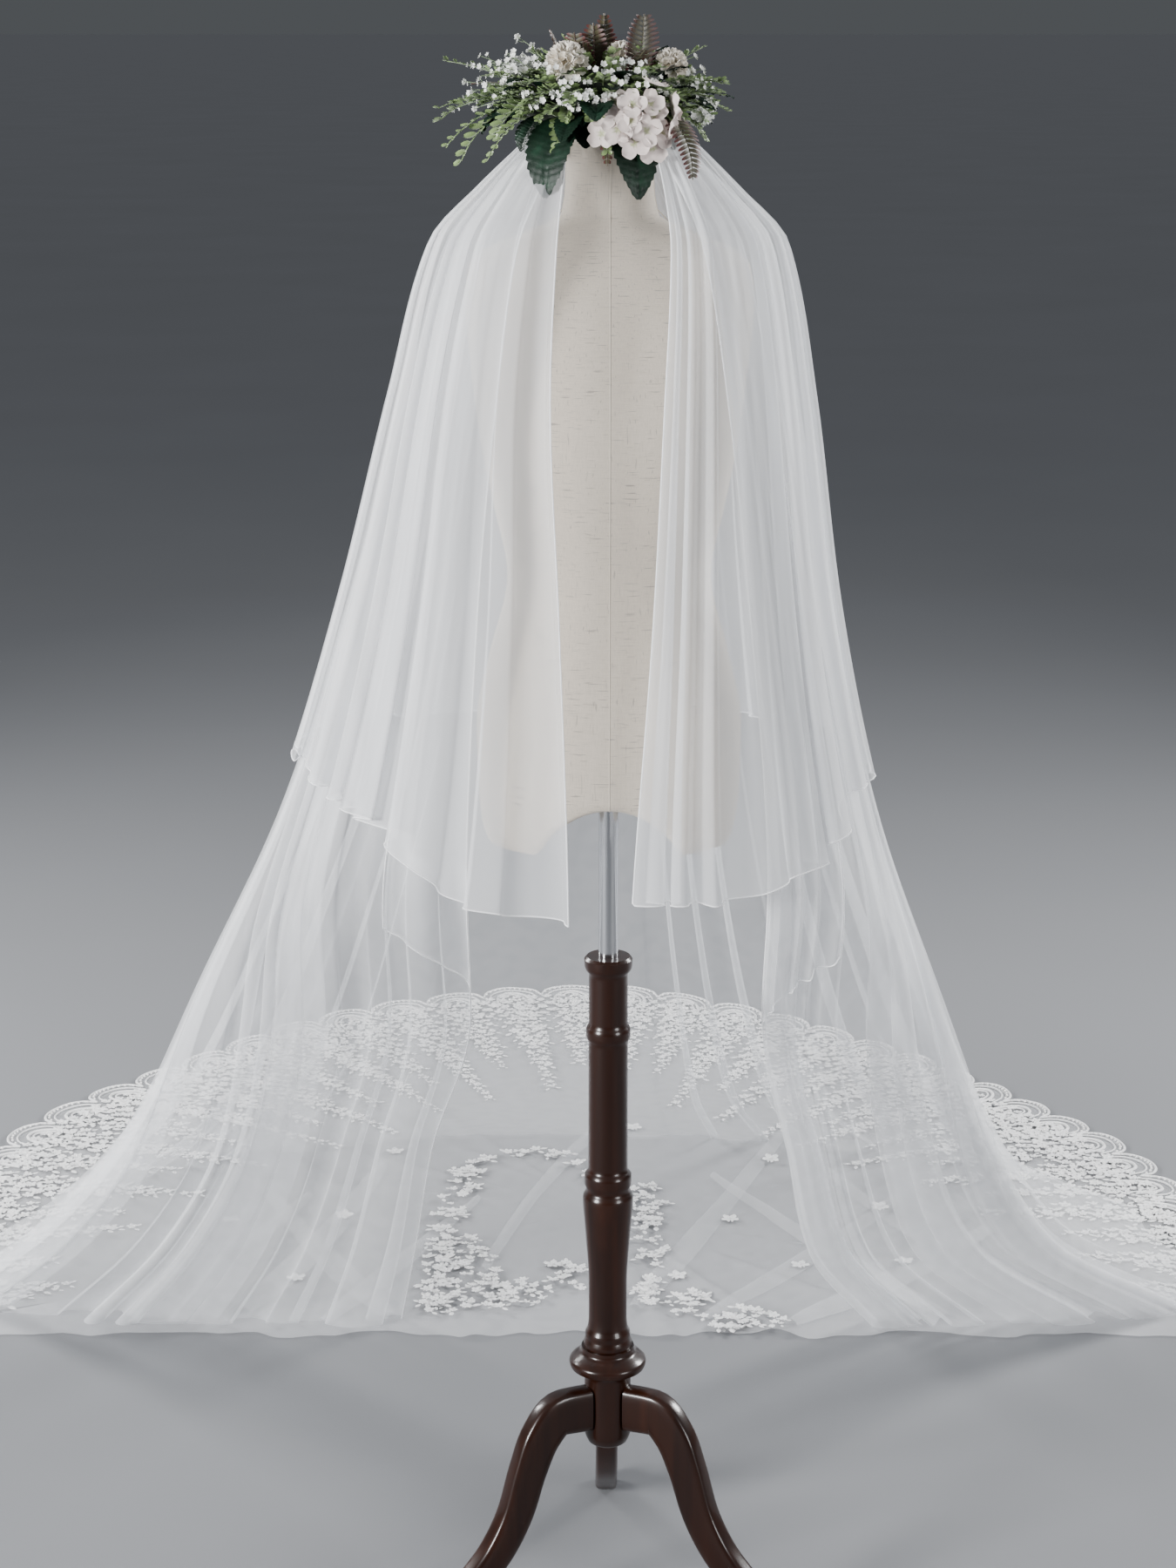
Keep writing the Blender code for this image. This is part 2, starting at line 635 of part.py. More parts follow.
def build_border(parent):
    """The lace border: a flat band round the train, with a scalloped outer edge."""
    bm = bmesh.new()
    starts = [border_start(bm, number) for number in range(SCALLOPS + 1)]
    edges = []
    for number in range(SCALLOPS):
        for point in range(POINTS_PER_SCALLOP):
            edges.append(border_edge(bm, number, point / POINTS_PER_SCALLOP))
    edges.append(border_edge(bm, SCALLOPS, 0.0))
    for number in range(SCALLOPS):
        low_a, start_a, middle_a = starts[number]
        low_b, start_b, middle_b = starts[number + 1]
        first = number * POINTS_PER_SCALLOP
        run = edges[first:first + POINTS_PER_SCALLOP + 1]
        half = len(run) // 2
        bm.faces.new((start_a, middle_a, middle_b, start_b))
        bm.faces.new((low_a, start_a, start_b, low_b))
        for (top_c, low_c), (top_d, low_d) in zip(run, run[1:]):
            bm.faces.new((top_c, low_c, low_d, top_d))
        border_fan(bm, middle_a, low_a, run[:half + 1])
        border_fan(bm, middle_b, low_b, run[half:])
        top_half, low_half = run[half]
        bm.faces.new((middle_a, top_half, middle_b))
        bm.faces.new((low_a, low_half, low_b))
    for spoke, (top_end, low_end) in ((starts[0], edges[0]), (starts[-1], edges[-1])):
        bm.faces.new((*spoke, top_end, low_end))
    finish("lace_border", bm, "lace", parent)


def build_inner_band(parent):
    """The arched lace band on the floor inside the tent, laid on the train."""
    bm = bmesh.new()
    rings = []
    for i in range(BAND_STEPS + 1):
        turn = math.pi * i / BAND_STEPS
        ring = []
        for width in (0.0, BAND_WIDTH):
            x = BAND_CENTRE[0] + (BAND_REACH[0] - width) * math.cos(turn)
            y = BAND_CENTRE[1] + (BAND_REACH[1] - width) * math.sin(turn)
            for z in (FLOOR_CLOTH + GAP, FLOOR_CLOTH + GAP + CLOTH):
                ring.append(bm.verts.new((x, y, z)))
        low_out, top_out, low_in, top_in = ring
        rings.append((low_out, top_out, top_in, low_in))
    for a, b in zip(rings, rings[1:]):
        for k in range(4):
            m = (k + 1) % 4
            bm.faces.new((a[k], a[m], b[m], b[k]))
    bm.faces.new(rings[0])
    bm.faces.new(rings[-1])
    finish("lace_inner_band", bm, "lace", parent)


def arch_lift(x):
    """How far the form's bottom rises at x, for the arch between its two rounded ends."""
    inside = max(0.0, 1.0 - (x / ARCH_HALF_WIDTH) ** 2)
    return (ARCH_TOP - FORM_BOTTOM) * inside ** 0.8


def ring_of(bm, row, sides, lift=None):
    """A closed ring round the form: an oval with its own depth in front and behind."""
    ring = []
    for i in range(sides):
        turn = 2 * math.pi * i / sides
        x = row.half_width * math.cos(turn)
        depth = row.back if math.sin(turn) > 0 else row.front
        y = depth * math.sin(turn)
        z = row.z + (lift(x) if lift else 0.0)
        ring.append(bm.verts.new((x, y, z)))
    return ring


def bridge(bm, rings):
    for low, high in zip(rings, rings[1:]):
        count = len(low)
        for i in range(count):
            j = (i + 1) % count
            bm.faces.new((low[i], low[j], high[j], high[i]))


def build_torso(parent):
    """The linen-covered form: a plain torso with a flat neck and an arched bottom."""
    bm = bmesh.new()
    seat = Torso(ARCH_TOP, POLE_SEAT_RADIUS, POLE_SEAT_RADIUS, POLE_SEAT_RADIUS)
    rings = [ring_of(bm, seat, TORSO_SIDES)]
    for row in TORSO:
        nearness = max(0.0, 1.0 - (row.z - FORM_BOTTOM) / ARCH_FADE)
        rings.append(ring_of(bm, row, TORSO_SIDES, lambda x, n=nearness: arch_lift(x) * n))
    bridge(bm, rings)
    bm.faces.new(rings[0])
    bm.faces.new(rings[-1])
    finish("form_torso", bm, "linen", parent, sharp=50.0)


def turned(name, profile, sides, material, parent):
    """A solid turned round the upright axis from a profile of heights and radii."""
    bm = bmesh.new()
    outline = [Turn(profile[0].z, 0.0), *profile, Turn(profile[-1].z, 0.0)]
    verts = [bm.verts.new((row.radius, 0.0, row.z)) for row in outline]
    edges = [bm.edges.new(pair) for pair in zip(verts, verts[1:])]
    bmesh.ops.spin(
        bm,
        geom=verts + edges,
        cent=(0.0, 0.0, 0.0),
        axis=(0.0, 0.0, 1.0),
        angle=2 * math.pi,
        steps=sides,
        use_merge=True,
    )
    bmesh.ops.remove_doubles(bm, verts=bm.verts, dist=0.00001)
    return finish(name, bm, material, parent)


def build_stand(parent):
    pole = [Turn(COLUMN_TOP + GAP, POLE_RADIUS), Turn(ARCH_TOP - GAP, POLE_RADIUS)]
    turned("pole", pole, STAND_SIDES, "chrome", parent)
    turned("column", COLUMN, STAND_SIDES, "wood", parent)
    turned("hub", HUB, STAND_SIDES, "wood", parent)
    for side, azimuth in LEG_AZIMUTHS.items():
        build_leg(f"leg_{side}", azimuth, parent)


def build_leg(name, azimuth, parent):
    """One curved leg: an eight-sided bar along its own line, ending in a flat pad."""
    bm = bmesh.new()
    rings = []
    last = len(LEG) - 1
    for index, row in enumerate(LEG):
        before, after = LEG[max(index - 1, 0)], LEG[min(index + 1, last)]
        along = Vector((after.reach - before.reach, after.z - before.z)).normalized()
        if index == 0 or index >= last - 1:
            along = Vector((1.0, 0.0))
        across = Vector((-along.y, along.x))
        ring = []
        for k in range(LEG_SIDES):
            turn = 2 * math.pi * (k + 0.5) / LEG_SIDES
            side = LEG_HALF_WIDTH * math.cos(turn) / math.cos(math.pi / LEG_SIDES)
            rise = row.half * math.sin(turn) / math.cos(math.pi / LEG_SIDES)
            reach = row.reach + across.x * rise
            ring.append(bm.verts.new((reach, side, row.z + across.y * rise)))
        rings.append(ring)
    bridge(bm, rings)
    bm.faces.new(rings[0])
    bm.faces.new(rings[-1])
    leg = finish(name, bm, "wood", parent)
    leg.rotation_euler = (0.0, 0.0, math.radians(azimuth))


def build_heading(parent):
    """The band that both tiers are gathered to, with the flange over it, on the form's neck."""
    bm = bmesh.new()
    steps = [
        (NECK_TOP + GAP, 0.0),
        (FLANGE_LOW, 0.0),
        (FLANGE_LOW, FLANGE_OUT),
        (FLANGE_TOP, FLANGE_OUT),
    ]
    rings = []
    for z, out in steps:
        row = Torso(z, BAND_HALF_X + out, BAND_HALF_Y + out, BAND_HALF_Y + out)
        rings.append(ring_of(bm, row, HEADING_SIDES))
    bridge(bm, rings)
    bm.faces.new(rings[0])
    bm.faces.new(rings[-1])
    finish("veil_heading", bm, "tulle", parent)


def base_point(azimuth, lift, out=0.0):
    """A point on the headpiece's base, moved out from it, and the direction straight out."""
    a, e = math.radians(azimuth), math.radians(lift)
    unit = Vector((math.cos(e) * math.cos(a), math.cos(e) * math.sin(a), math.sin(e)))
    at = Vector([half * u for half, u in zip(BASE_HALF, unit)])
    normal = Vector([u / half for half, u in zip(BASE_HALF, unit)]).normalized()
    centre = Vector((BASE_CENTRE_X, 0.0, BASE_CENTRE_Z))
    return centre + at + normal * out, normal


def build_base(parent):
    """The hidden base. It returns the base's points, and a tree to measure distances to it."""
    bm = bmesh.new()
    across, tall = BASE_SEGMENTS
    bmesh.ops.create_uvsphere(bm, u_segments=across, v_segments=tall, radius=1.0)
    for v in bm.verts:
        v.co = Vector([half * c for half, c in zip(BASE_HALF, v.co)])
        v.co += Vector((BASE_CENTRE_X, 0.0, BASE_CENTRE_Z))
    points = [v.co.copy() for v in bm.verts]
    tree = BVHTree.FromBMesh(bm)
    finish("headpiece_base", bm, "leaf", parent)
    return points, tree


def seat(bm, base, inward):
    """Moves a piece inward until it lies just clear of the base."""
    points, tree = base
    for _ in range(SEAT_STEPS):
        own = BVHTree.FromBMesh(bm)
        to_base = min(tree.find_nearest(v.co)[3] for v in bm.verts)
        from_base = min(own.find_nearest(point)[3] for point in points)
        step = min(to_base, from_base) - SEAT_GAP
        bmesh.ops.translate(bm, verts=bm.verts, vec=inward * max(step, 0.0))


def build_head(head, base, parent):
    """A flower head: a ball whose petals show as soft lobes, sitting on the base."""
    centre, outward = base_point(head.azimuth, head.lift, head.radius + 2 * GAP)
    bm = bmesh.new()
    across, up = HEAD_SEGMENTS
    bmesh.ops.create_uvsphere(bm, u_segments=across, v_segments=up, radius=head.radius)
    for v in bm.verts:
        around = math.atan2(v.co.y, v.co.x)
        tall = math.asin(max(-1.0, min(1.0, v.co.z / head.radius)))
        lobe = math.cos(head.lobes * around) * math.cos(tall)
        v.co *= 1.0 - LOBE_DEPTH * (1.0 - lobe) * math.cos(tall)
        v.co += centre
    seat(bm, base, -outward)
    finish(head.name, bm, "blossom", parent)


def frond_outline(kind, along, lobe):
    """Half width of a frond, as a share of its width: 0 at the root and tip, with its lobes."""
    row = OUTLINES[kind]
    body = math.sin(math.pi * (row.start + row.span * along)) ** row.fullness
    return max(row.least, body * (1.0 - row.notch * lobe))


def build_frond(frond, base, parent):
    """A leaf, fern or sprig: a thin lobed plate along a rib that bends down."""
    root, outward = base_point(frond.azimuth, frond.lift, 3 * GAP + LEAF_THICKNESS)
    a = math.radians(frond.azimuth)
    level = Vector((math.cos(a), math.sin(a), 0.0))
    sideways = Vector((-level.y, level.x, 0.0))
    steps = 2 * frond.lobes
    bm = bmesh.new()
    rings = []
    at = root.copy()
    for i in range(steps + 1):
        along = i / steps
        pitch = math.radians(frond.pitch - frond.droop * along)
        forward = level * math.cos(pitch) + Vector((0.0, 0.0, math.sin(pitch)))
        upward = forward.cross(sideways).normalized()
        half = 0.5 * frond.width * frond_outline(frond.kind, along, 1.0 - i % 2)
        thick = upward * (0.5 * LEAF_THICKNESS)
        lift = upward * (FROND_RISE * half)
        ring = []
        for side in (-1.0, 0.0, 1.0):
            ring.append(bm.verts.new(at + sideways * side * half + lift * abs(side) - thick))
        for side in (1.0, 0.0, -1.0):
            ring.append(bm.verts.new(at + sideways * side * half + lift * abs(side) + thick))
        rings.append(ring)
        at = at + forward * (frond.length / steps)
    bridge(bm, rings)
    for ring in (rings[0], rings[-1]):
        bm.faces.new((ring[0], ring[1], ring[4], ring[5]))
        bm.faces.new((ring[1], ring[2], ring[3], ring[4]))
    seat(bm, base, -outward)
    finish(frond.name, bm, frond.kind, parent)


def build_headpiece(parent):
    base = build_base(parent)
    for head in HEADS:
        build_head(head, base, parent)
    for frond in FRONDS:
        build_frond(frond, base, parent)


def main():
    clear_scene()
    axis = bpy.data.objects.new("FormAxis", None)
    bpy.context.collection.objects.link(axis)
    axis.location = (FORM_X, FORM_Y, 0.0)
    build_torso(axis)
    build_stand(axis)
    build_heading(axis)
    build_long_tier(axis)
    build_short_tier(axis)
    build_corners(axis)
    build_train(axis)
    build_border(axis)
    build_inner_band(axis)
    build_headpiece(axis)
    bpy.context.view_layer.update()


main()
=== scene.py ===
"""Looks of a two-tier bridal veil with a flower headpiece, on a dress form with a tripod stand.

Form coordinates are metres from the form's upright axis, with the floor at z = 0, the veil's open
front towards -Y and its train towards +Y. finish_piece moves each mesh to that axis in the frame.
"""

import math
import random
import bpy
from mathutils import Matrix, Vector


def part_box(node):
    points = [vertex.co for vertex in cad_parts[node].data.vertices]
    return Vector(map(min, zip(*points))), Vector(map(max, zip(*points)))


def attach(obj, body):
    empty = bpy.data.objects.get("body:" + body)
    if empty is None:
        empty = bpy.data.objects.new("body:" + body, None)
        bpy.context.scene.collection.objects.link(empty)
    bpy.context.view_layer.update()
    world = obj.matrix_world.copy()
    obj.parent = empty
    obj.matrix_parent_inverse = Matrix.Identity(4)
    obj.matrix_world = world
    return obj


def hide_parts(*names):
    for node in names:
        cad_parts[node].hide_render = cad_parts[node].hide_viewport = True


bl_info = {
    "name": "Bridal Veil on a Dress Form",
    "version": (1, 0, 0),
    "blender": (4, 5, 0),
    "location": "View3D > Sidebar > Veil",
    "description": "Builds a tiered tulle veil with its lace, headpiece, dress form and stand",
    "category": "Object",
}

from collections import namedtuple

import bmesh
import bpy
import numpy as np
from mathutils import Matrix, Vector

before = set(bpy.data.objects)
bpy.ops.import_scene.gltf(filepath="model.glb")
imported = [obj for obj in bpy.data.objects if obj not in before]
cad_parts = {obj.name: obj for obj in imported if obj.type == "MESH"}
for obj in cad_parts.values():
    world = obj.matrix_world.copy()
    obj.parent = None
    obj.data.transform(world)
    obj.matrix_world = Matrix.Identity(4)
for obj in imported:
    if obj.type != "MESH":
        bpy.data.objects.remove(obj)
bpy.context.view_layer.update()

# The form's axis, taken from its pole
POLE_LOW, POLE_HIGH = [Vector(corner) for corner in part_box("pole")]
AXIS = Vector(((POLE_LOW.x + POLE_HIGH.x) / 2, (POLE_LOW.y + POLE_HIGH.y) / 2, 0.0))
POLE_RADIUS = (POLE_HIGH.x - POLE_LOW.x) / 2
UP = Vector((0.0, 0.0, 1.0))

# Each sheet's cut, laid flat: its mean width and its length
Cut = namedtuple("Cut", "width length")

# A level section of a tier: how far its sides, back and front edges reach, and its folds' depth
Tier = namedtuple("Tier", "z left right side_y back_y edge_lx edge_ly edge_rx edge_ry fold")
LONG_TIER = [
    Tier(1.885, -0.0793, 0.0793, 0.000, 0.0613, -0.052, -0.0463, 0.052, -0.0463, 0.001),
    Tier(1.835, -0.136, 0.133, 0.000, 0.088, -0.080, -0.086, 0.080, -0.086, 0.004),
    Tier(1.775, -0.187, 0.183, 0.000, 0.128, -0.105, -0.120, 0.105, -0.120, 0.006),
    Tier(1.600, -0.236, 0.215, 0.025, 0.180, -0.130, -0.120, 0.135, -0.120, 0.007),
    Tier(1.350, -0.311, 0.261, 0.090, 0.280, -0.155, -0.104, 0.165, -0.104, 0.009),
    Tier(1.050, -0.412, 0.333, 0.200, 0.440, -0.172, -0.085, 0.192, -0.085, 0.011),
    Tier(0.750, -0.550, 0.441, 0.350, 0.670, -0.180, 0.150, 0.204, 0.150, 0.015),
    Tier(0.450, -0.690, 0.565, 0.530, 0.970, -0.250, 0.430, 0.265, 0.420, 0.019),
    Tier(0.200, -0.866, 0.710, 0.740, 1.300, -0.290, 0.650, 0.320, 0.640, 0.020),
    Tier(0.004, -1.060, 0.985, 0.930, 1.600, -0.325, 0.808, 0.435, 0.808, 0.020),
]
SHORT_TIER = [
    Tier(1.893, -0.0913, 0.0913, 0.000, 0.0733, -0.048, -0.0623, 0.048, -0.0623, 0.001),
    Tier(1.835, -0.152, 0.149, 0.000, 0.105, -0.055, -0.112, 0.061, -0.112, 0.004),
    Tier(1.775, -0.207, 0.204, 0.000, 0.146, -0.061, -0.146, 0.068, -0.146, 0.006),
    Tier(1.600, -0.257, 0.238, 0.025, 0.204, -0.068, -0.172, 0.061, -0.172, 0.009),
    Tier(1.350, -0.324, 0.275, 0.090, 0.300, -0.059, -0.162, 0.050, -0.162, 0.011),
    Tier(1.050, -0.422, 0.346, 0.200, 0.458, -0.050, -0.148, 0.030, -0.148, 0.013),
    Tier(0.900, -0.490, 0.404, 0.270, 0.560, -0.048, -0.141, 0.022, -0.141, 0.014),
]
LONG_FOLDS = 28
SHORT_FOLDS = 22
LONG_FRONT_SHARE = 0.32
SHORT_FRONT_SHARE = 0.34
SQUARENESS = 0.80
COLUMNS_PER_FOLD = 26
LONG_ROWS = 64
SHORT_ROWS = 48
LEVELS = 120
DIRECTION_STEP = 0.004
# Height of the short tier's hem from its left front edge, round the back, to its right one
Hem = namedtuple("Hem", "share z")
SHORT_HEM = [
    Hem(0.00, 0.976),
    Hem(0.04, 0.988),
    Hem(0.07, 1.000),
    Hem(0.10, 1.036),
    Hem(0.14, 1.081),
    Hem(0.18, 1.112),
    Hem(0.24, 1.128),
    Hem(0.36, 1.118),
    Hem(0.50, 1.100),
    Hem(0.66, 1.112),
    Hem(0.78, 1.108),
    Hem(0.82, 1.070),
    Hem(0.88, 1.020),
    Hem(0.94, 1.002),
    Hem(1.00, 1.006),
]
# Turned-back corners of the short tier: their share of the long tier's width, the height of the
# tip on the edge, and of the hem at the far side
Corner = namedtuple("Corner", "name start end tip_z far_z")
CORNERS = [
    Corner("left", 0.0, 0.0714, 0.816, 0.935),
    Corner("right", 1.0, 0.9196, 0.755, 0.880),
]
CORNER_OUT_TOP = 0.0035
CORNER_OUT_LOW = 0.0080
CORNER_HEM_CURVE = 0.7

# Train: laid round its centre, with a scalloped lace border from -BORDER_END to BORDER_END
TRAIN_CENTRE_Y = 1.25
TRAIN_NEAR_Y = 0.765
BORDER_END = 112.0
SCALLOPS = 36
SCALLOP_STEP = 2.0 * BORDER_END / SCALLOPS
SCALLOP_DEPTH = 0.048
FLOOR_CLEAR = 0.0026
Reach = namedtuple("Reach", "azimuth reach border")
TRAIN = [
    Reach(-180.0, 0.500, 0.000),
    Reach(-112.0, 1.150, 0.220),
    Reach(-90.0, 1.170, 0.430),
    Reach(-71.0, 1.160, 0.540),
    Reach(-50.0, 1.120, 0.600),
    Reach(-25.0, 1.180, 0.620),
    Reach(0.0, 1.205, 0.620),
    Reach(15.0, 1.120, 0.600),
    Reach(35.0, 1.020, 0.560),
    Reach(55.0, 0.980, 0.520),
    Reach(75.0, 1.020, 0.480),
    Reach(90.0, 1.050, 0.400),
    Reach(112.0, 1.110, 0.220),
    Reach(180.0, 0.500, 0.000),
]
# Where the turned-under front edges' lace lies on the floor, from its left end to its right
Spot = namedtuple("Spot", "x y")
INNER_LACE = [
    Spot(-0.272, 0.860),
    Spot(-0.279, 0.980),
    Spot(-0.276, 1.150),
    Spot(-0.262, 1.300),
    Spot(-0.235, 1.430),
    Spot(-0.180, 1.495),
    Spot(-0.110, 1.510),
    Spot(-0.040, 1.440),
    Spot(0.040, 1.350),
    Spot(0.085, 1.210),
    Spot(0.080, 1.050),
    Spot(0.068, 0.900),
]
# Heaps of lace where the front edges are turned under: middle, half sizes and flowers
Heap = namedtuple("Heap", "x y half_x half_y flowers")
LACE_HEAPS = [
    Heap(-0.232, 1.020, 0.058, 0.110, 46),
    Heap(-0.165, 0.905, 0.080, 0.068, 44),
    Heap(-0.262, 0.868, 0.032, 0.042, 12),
    Heap(-0.055, 0.965, 0.030, 0.085, 14),
    Heap(0.078, 0.890, 0.028, 0.064, 14),
    Heap(0.140, 0.862, 0.040, 0.052, 16),
    Heap(0.208, 0.806, 0.048, 0.036, 20),
    Heap(0.268, 0.806, 0.028, 0.028, 9),
    Heap(0.083, 1.262, 0.030, 0.095, 20),
    Heap(-0.258, 1.232, 0.018, 0.045, 8),
    Heap(-0.250, 1.410, 0.026, 0.050, 12),
]
# Single flowers sewn to the train
APPLIQUES = [
    Spot(-0.644, 1.194),
    Spot(-0.449, 1.212),
    Spot(-0.509, 0.974),
    Spot(0.221, 1.212),
    Spot(0.329, 1.025),
    Spot(0.486, 1.257),
    Spot(0.503, 1.019),
    Spot(0.123, 0.981),
    Spot(0.308, 1.471),
    Spot(-0.084, 1.025),
    Spot(-0.380, 1.520),
    Spot(0.060, 1.640),
]
# Bands where the train is folded over itself: two ends and a width
Band = namedtuple("Band", "x0 y0 x1 y1 width")
FLOOR_BANDS = [
    Band(0.05, 0.86, 0.34, 1.62, 0.060),
    Band(0.16, 0.82, 0.62, 1.46, 0.052),
    Band(0.30, 0.80, 0.72, 1.24, 0.070),
    Band(0.55, 0.82, 0.20, 1.40, 0.058),
    Band(0.70, 0.86, 0.36, 1.55, 0.045),
    Band(-0.34, 0.82, -0.62, 1.40, 0.060),
    Band(-0.45, 0.80, -0.22, 1.30, 0.050),
    Band(-0.58, 0.84, -0.40, 1.45, 0.070),
    Band(-0.74, 0.88, -0.52, 1.32, 0.055),
    Band(-0.20, 1.00, 0.02, 1.70, 0.040),
]

# Torso sections: height, half width, and half depth in front and behind
Torso = namedtuple("Torso", "z half_width front back")
TORSO = [
    Torso(1.045, 0.148, 0.098, 0.098),
    Torso(1.060, 0.154, 0.103, 0.103),
    Torso(1.120, 0.160, 0.106, 0.110),
    Torso(1.190, 0.161, 0.106, 0.112),
    Torso(1.280, 0.144, 0.100, 0.100),
    Torso(1.375, 0.122, 0.092, 0.084),
    Torso(1.460, 0.138, 0.104, 0.088),
    Torso(1.550, 0.155, 0.116, 0.096),
    Torso(1.630, 0.164, 0.104, 0.098),
    Torso(1.700, 0.170, 0.086, 0.092),
    Torso(1.745, 0.164, 0.070, 0.078),
    Torso(1.768, 0.134, 0.060, 0.068),
    Torso(1.785, 0.086, 0.054, 0.060),
    Torso(1.802, 0.057, 0.049, 0.053),
    Torso(1.840, 0.051, 0.047, 0.050),
    Torso(1.868, 0.052, 0.048, 0.049),
    Torso(1.893, 0.056, 0.052, 0.052),
]
# The gathered heading's two ends, round from the form's right side: its front is open
HEADING_START = -38.0
HEADING_END = 218.0
FORM_BOTTOM = 1.045
ARCH_TOP = 1.105
ARCH_HALF_WIDTH = 0.085
ARCH_FADE = 0.07
TORSO_SIDES = 96
TORSO_ROWS = 110

FLOOR_HALF = 300.0

# Turned profiles, from the foot upwards, and the curved leg
Turn = namedtuple("Turn", "z radius")
COLUMN = [
    Turn(0.3606, 0.0310),
    Turn(0.3670, 0.0315),
    Turn(0.3730, 0.0288),
    Turn(0.3790, 0.0295),
    Turn(0.3860, 0.0262),
    Turn(0.4010, 0.0246),
    Turn(0.4500, 0.0247),
    Turn(0.5200, 0.0290),
    Turn(0.5680, 0.0323),
    Turn(0.5790, 0.0278),
    Turn(0.5860, 0.0300),
    Turn(0.5980, 0.0300),
    Turn(0.6060, 0.0252),
    Turn(0.7790, 0.0249),
    Turn(0.7830, 0.0280),
    Turn(0.7960, 0.0280),
    Turn(0.8010, 0.0246),
    Turn(0.8680, 0.0244),
    Turn(0.8750, 0.0296),
    Turn(0.8870, 0.0303),
    Turn(0.8910, 0.0272),
]
HUB = [
    Turn(0.2214, 0.0180),
    Turn(0.2260, 0.0255),
    Turn(0.2400, 0.0300),
    Turn(0.3180, 0.0300),
    Turn(0.3260, 0.0340),
    Turn(0.3320, 0.0480),
    Turn(0.3400, 0.0500),
    Turn(0.3470, 0.0440),
    Turn(0.3540, 0.0350),
    Turn(0.3603, 0.0340),
]
Leg = namedtuple("Leg", "reach z half")
LEG = [
    Leg(0.0300, 0.2780, 0.0300),
    Leg(0.0700, 0.2810, 0.0290),
    Leg(0.0990, 0.2560, 0.0270),
    Leg(0.1190, 0.2120, 0.0245),
    Leg(0.1380, 0.1560, 0.0230),
    Leg(0.1680, 0.1060, 0.0215),
    Leg(0.2100, 0.0670, 0.0185),
    Leg(0.2500, 0.0350, 0.0150),
    Leg(0.2780, 0.0150, 0.0150),
    Leg(0.3060, 0.0110, 0.0110),
]
LEG_HALF_WIDTH = 0.015
LEG_AZIMUTHS = {"rear": 90.0, "left": 210.0, "right": 330.0}

# Headpiece: the hidden base, and what grows from it. Azimuth -90 is the front
BASE_CENTRE = Vector((-0.012, 0.0, 1.932))
BASE_HALF = Vector((0.105, 0.080, 0.0364))
Frond = namedtuple("Frond", "azimuth lift pitch length width droop")
DARK_LEAVES = {
    "leaf_front_left": Frond(-116.0, -36.0, -18.0, 0.112, 0.062, 80.0),
    "leaf_front_middle": Frond(-92.0, -2.0, 14.0, 0.050, 0.044, 80.0),
    "leaf_front_right": Frond(-70.0, -44.0, -26.0, 0.106, 0.060, 66.0),
    "leaf_right": Frond(8.0, 8.0, 12.0, 0.058, 0.038, 30.0),
    "leaf_left": Frond(-172.0, -14.0, -5.0, 0.058, 0.040, 36.0),
    "leaf_back_left": Frond(116.0, -10.0, -5.0, 0.060, 0.046, 40.0),
    "leaf_back_right": Frond(66.0, -10.0, -5.0, 0.060, 0.046, 40.0),
}
MORE_LEAVES = [
    Frond(-112.0, -36.0, -30.0, 0.046, 0.040, 50.0),
    Frond(-78.0, -40.0, -36.0, 0.040, 0.034, 50.0),
    Frond(-64.0, -40.0, -30.0, 0.044, 0.036, 60.0),
    Frond(-100.0, -44.0, -40.0, 0.036, 0.034, 40.0),
    Frond(-142.0, -34.0, -30.0, 0.050, 0.040, 50.0),
    Frond(-40.0, -36.0, -30.0, 0.046, 0.038, 50.0),
    Frond(-150.0, -12.0, 0.0, 0.066, 0.036, 60.0),
    Frond(-76.0, 34.0, 40.0, 0.046, 0.026, 40.0),
    Frond(-30.0, -6.0, 10.0, 0.052, 0.034, 40.0),
    Frond(-108.0, -30.0, -6.0, 0.060, 0.034, 50.0),
    Frond(-140.0, 30.0, 30.0, 0.050, 0.030, 50.0),
    Frond(-52.0, -26.0, -6.0, 0.056, 0.034, 50.0),
    Frond(90.0, -22.0, -10.0, 0.080, 0.046, 60.0),
    Frond(140.0, 6.0, 8.0, 0.060, 0.036, 50.0),
    Frond(36.0, 2.0, 8.0, 0.060, 0.036, 50.0),
]
FERNS = {
    "fern_up_left": Frond(-100.0, 68.0, 84.0, 0.056, 0.030, -4.0),
    "fern_up_right": Frond(-52.0, 46.0, 78.0, 0.074, 0.046, -10.0),
    "fern_up_small": Frond(172.0, 66.0, 76.0, 0.052, 0.030, 10.0),
    "fern_right_low": Frond(-50.0, -22.0, -4.0, 0.112, 0.036, 92.0),
}
MORE_FERNS = [
    Frond(-122.0, 66.0, 72.0, 0.048, 0.036, -4.0),
    Frond(-82.0, 72.0, 86.0, 0.066, 0.024, -2.0),
    Frond(-108.0, 58.0, 78.0, 0.040, 0.026, 0.0),
    Frond(-60.0, 58.0, 70.0, 0.036, 0.014, 0.0),
    Frond(-86.0, -34.0, -30.0, 0.066, 0.017, 60.0),
    Frond(-162.0, 24.0, 20.0, 0.062, 0.018, 30.0),
    Frond(-60.0, 50.0, 56.0, 0.048, 0.018, 30.0),
    Frond(84.0, 60.0, 66.0, 0.060, 0.030, 20.0),
]
SPRIGS = {
    "sprig_left_high": Frond(170.0, 30.0, 26.0, 0.096, 0.034, 20.0),
    "sprig_left_low": Frond(186.0, 4.0, 8.0, 0.088, 0.034, 34.0),
    "sprig_right_high": Frond(18.0, 46.0, 44.0, 0.066, 0.030, 24.0),
}
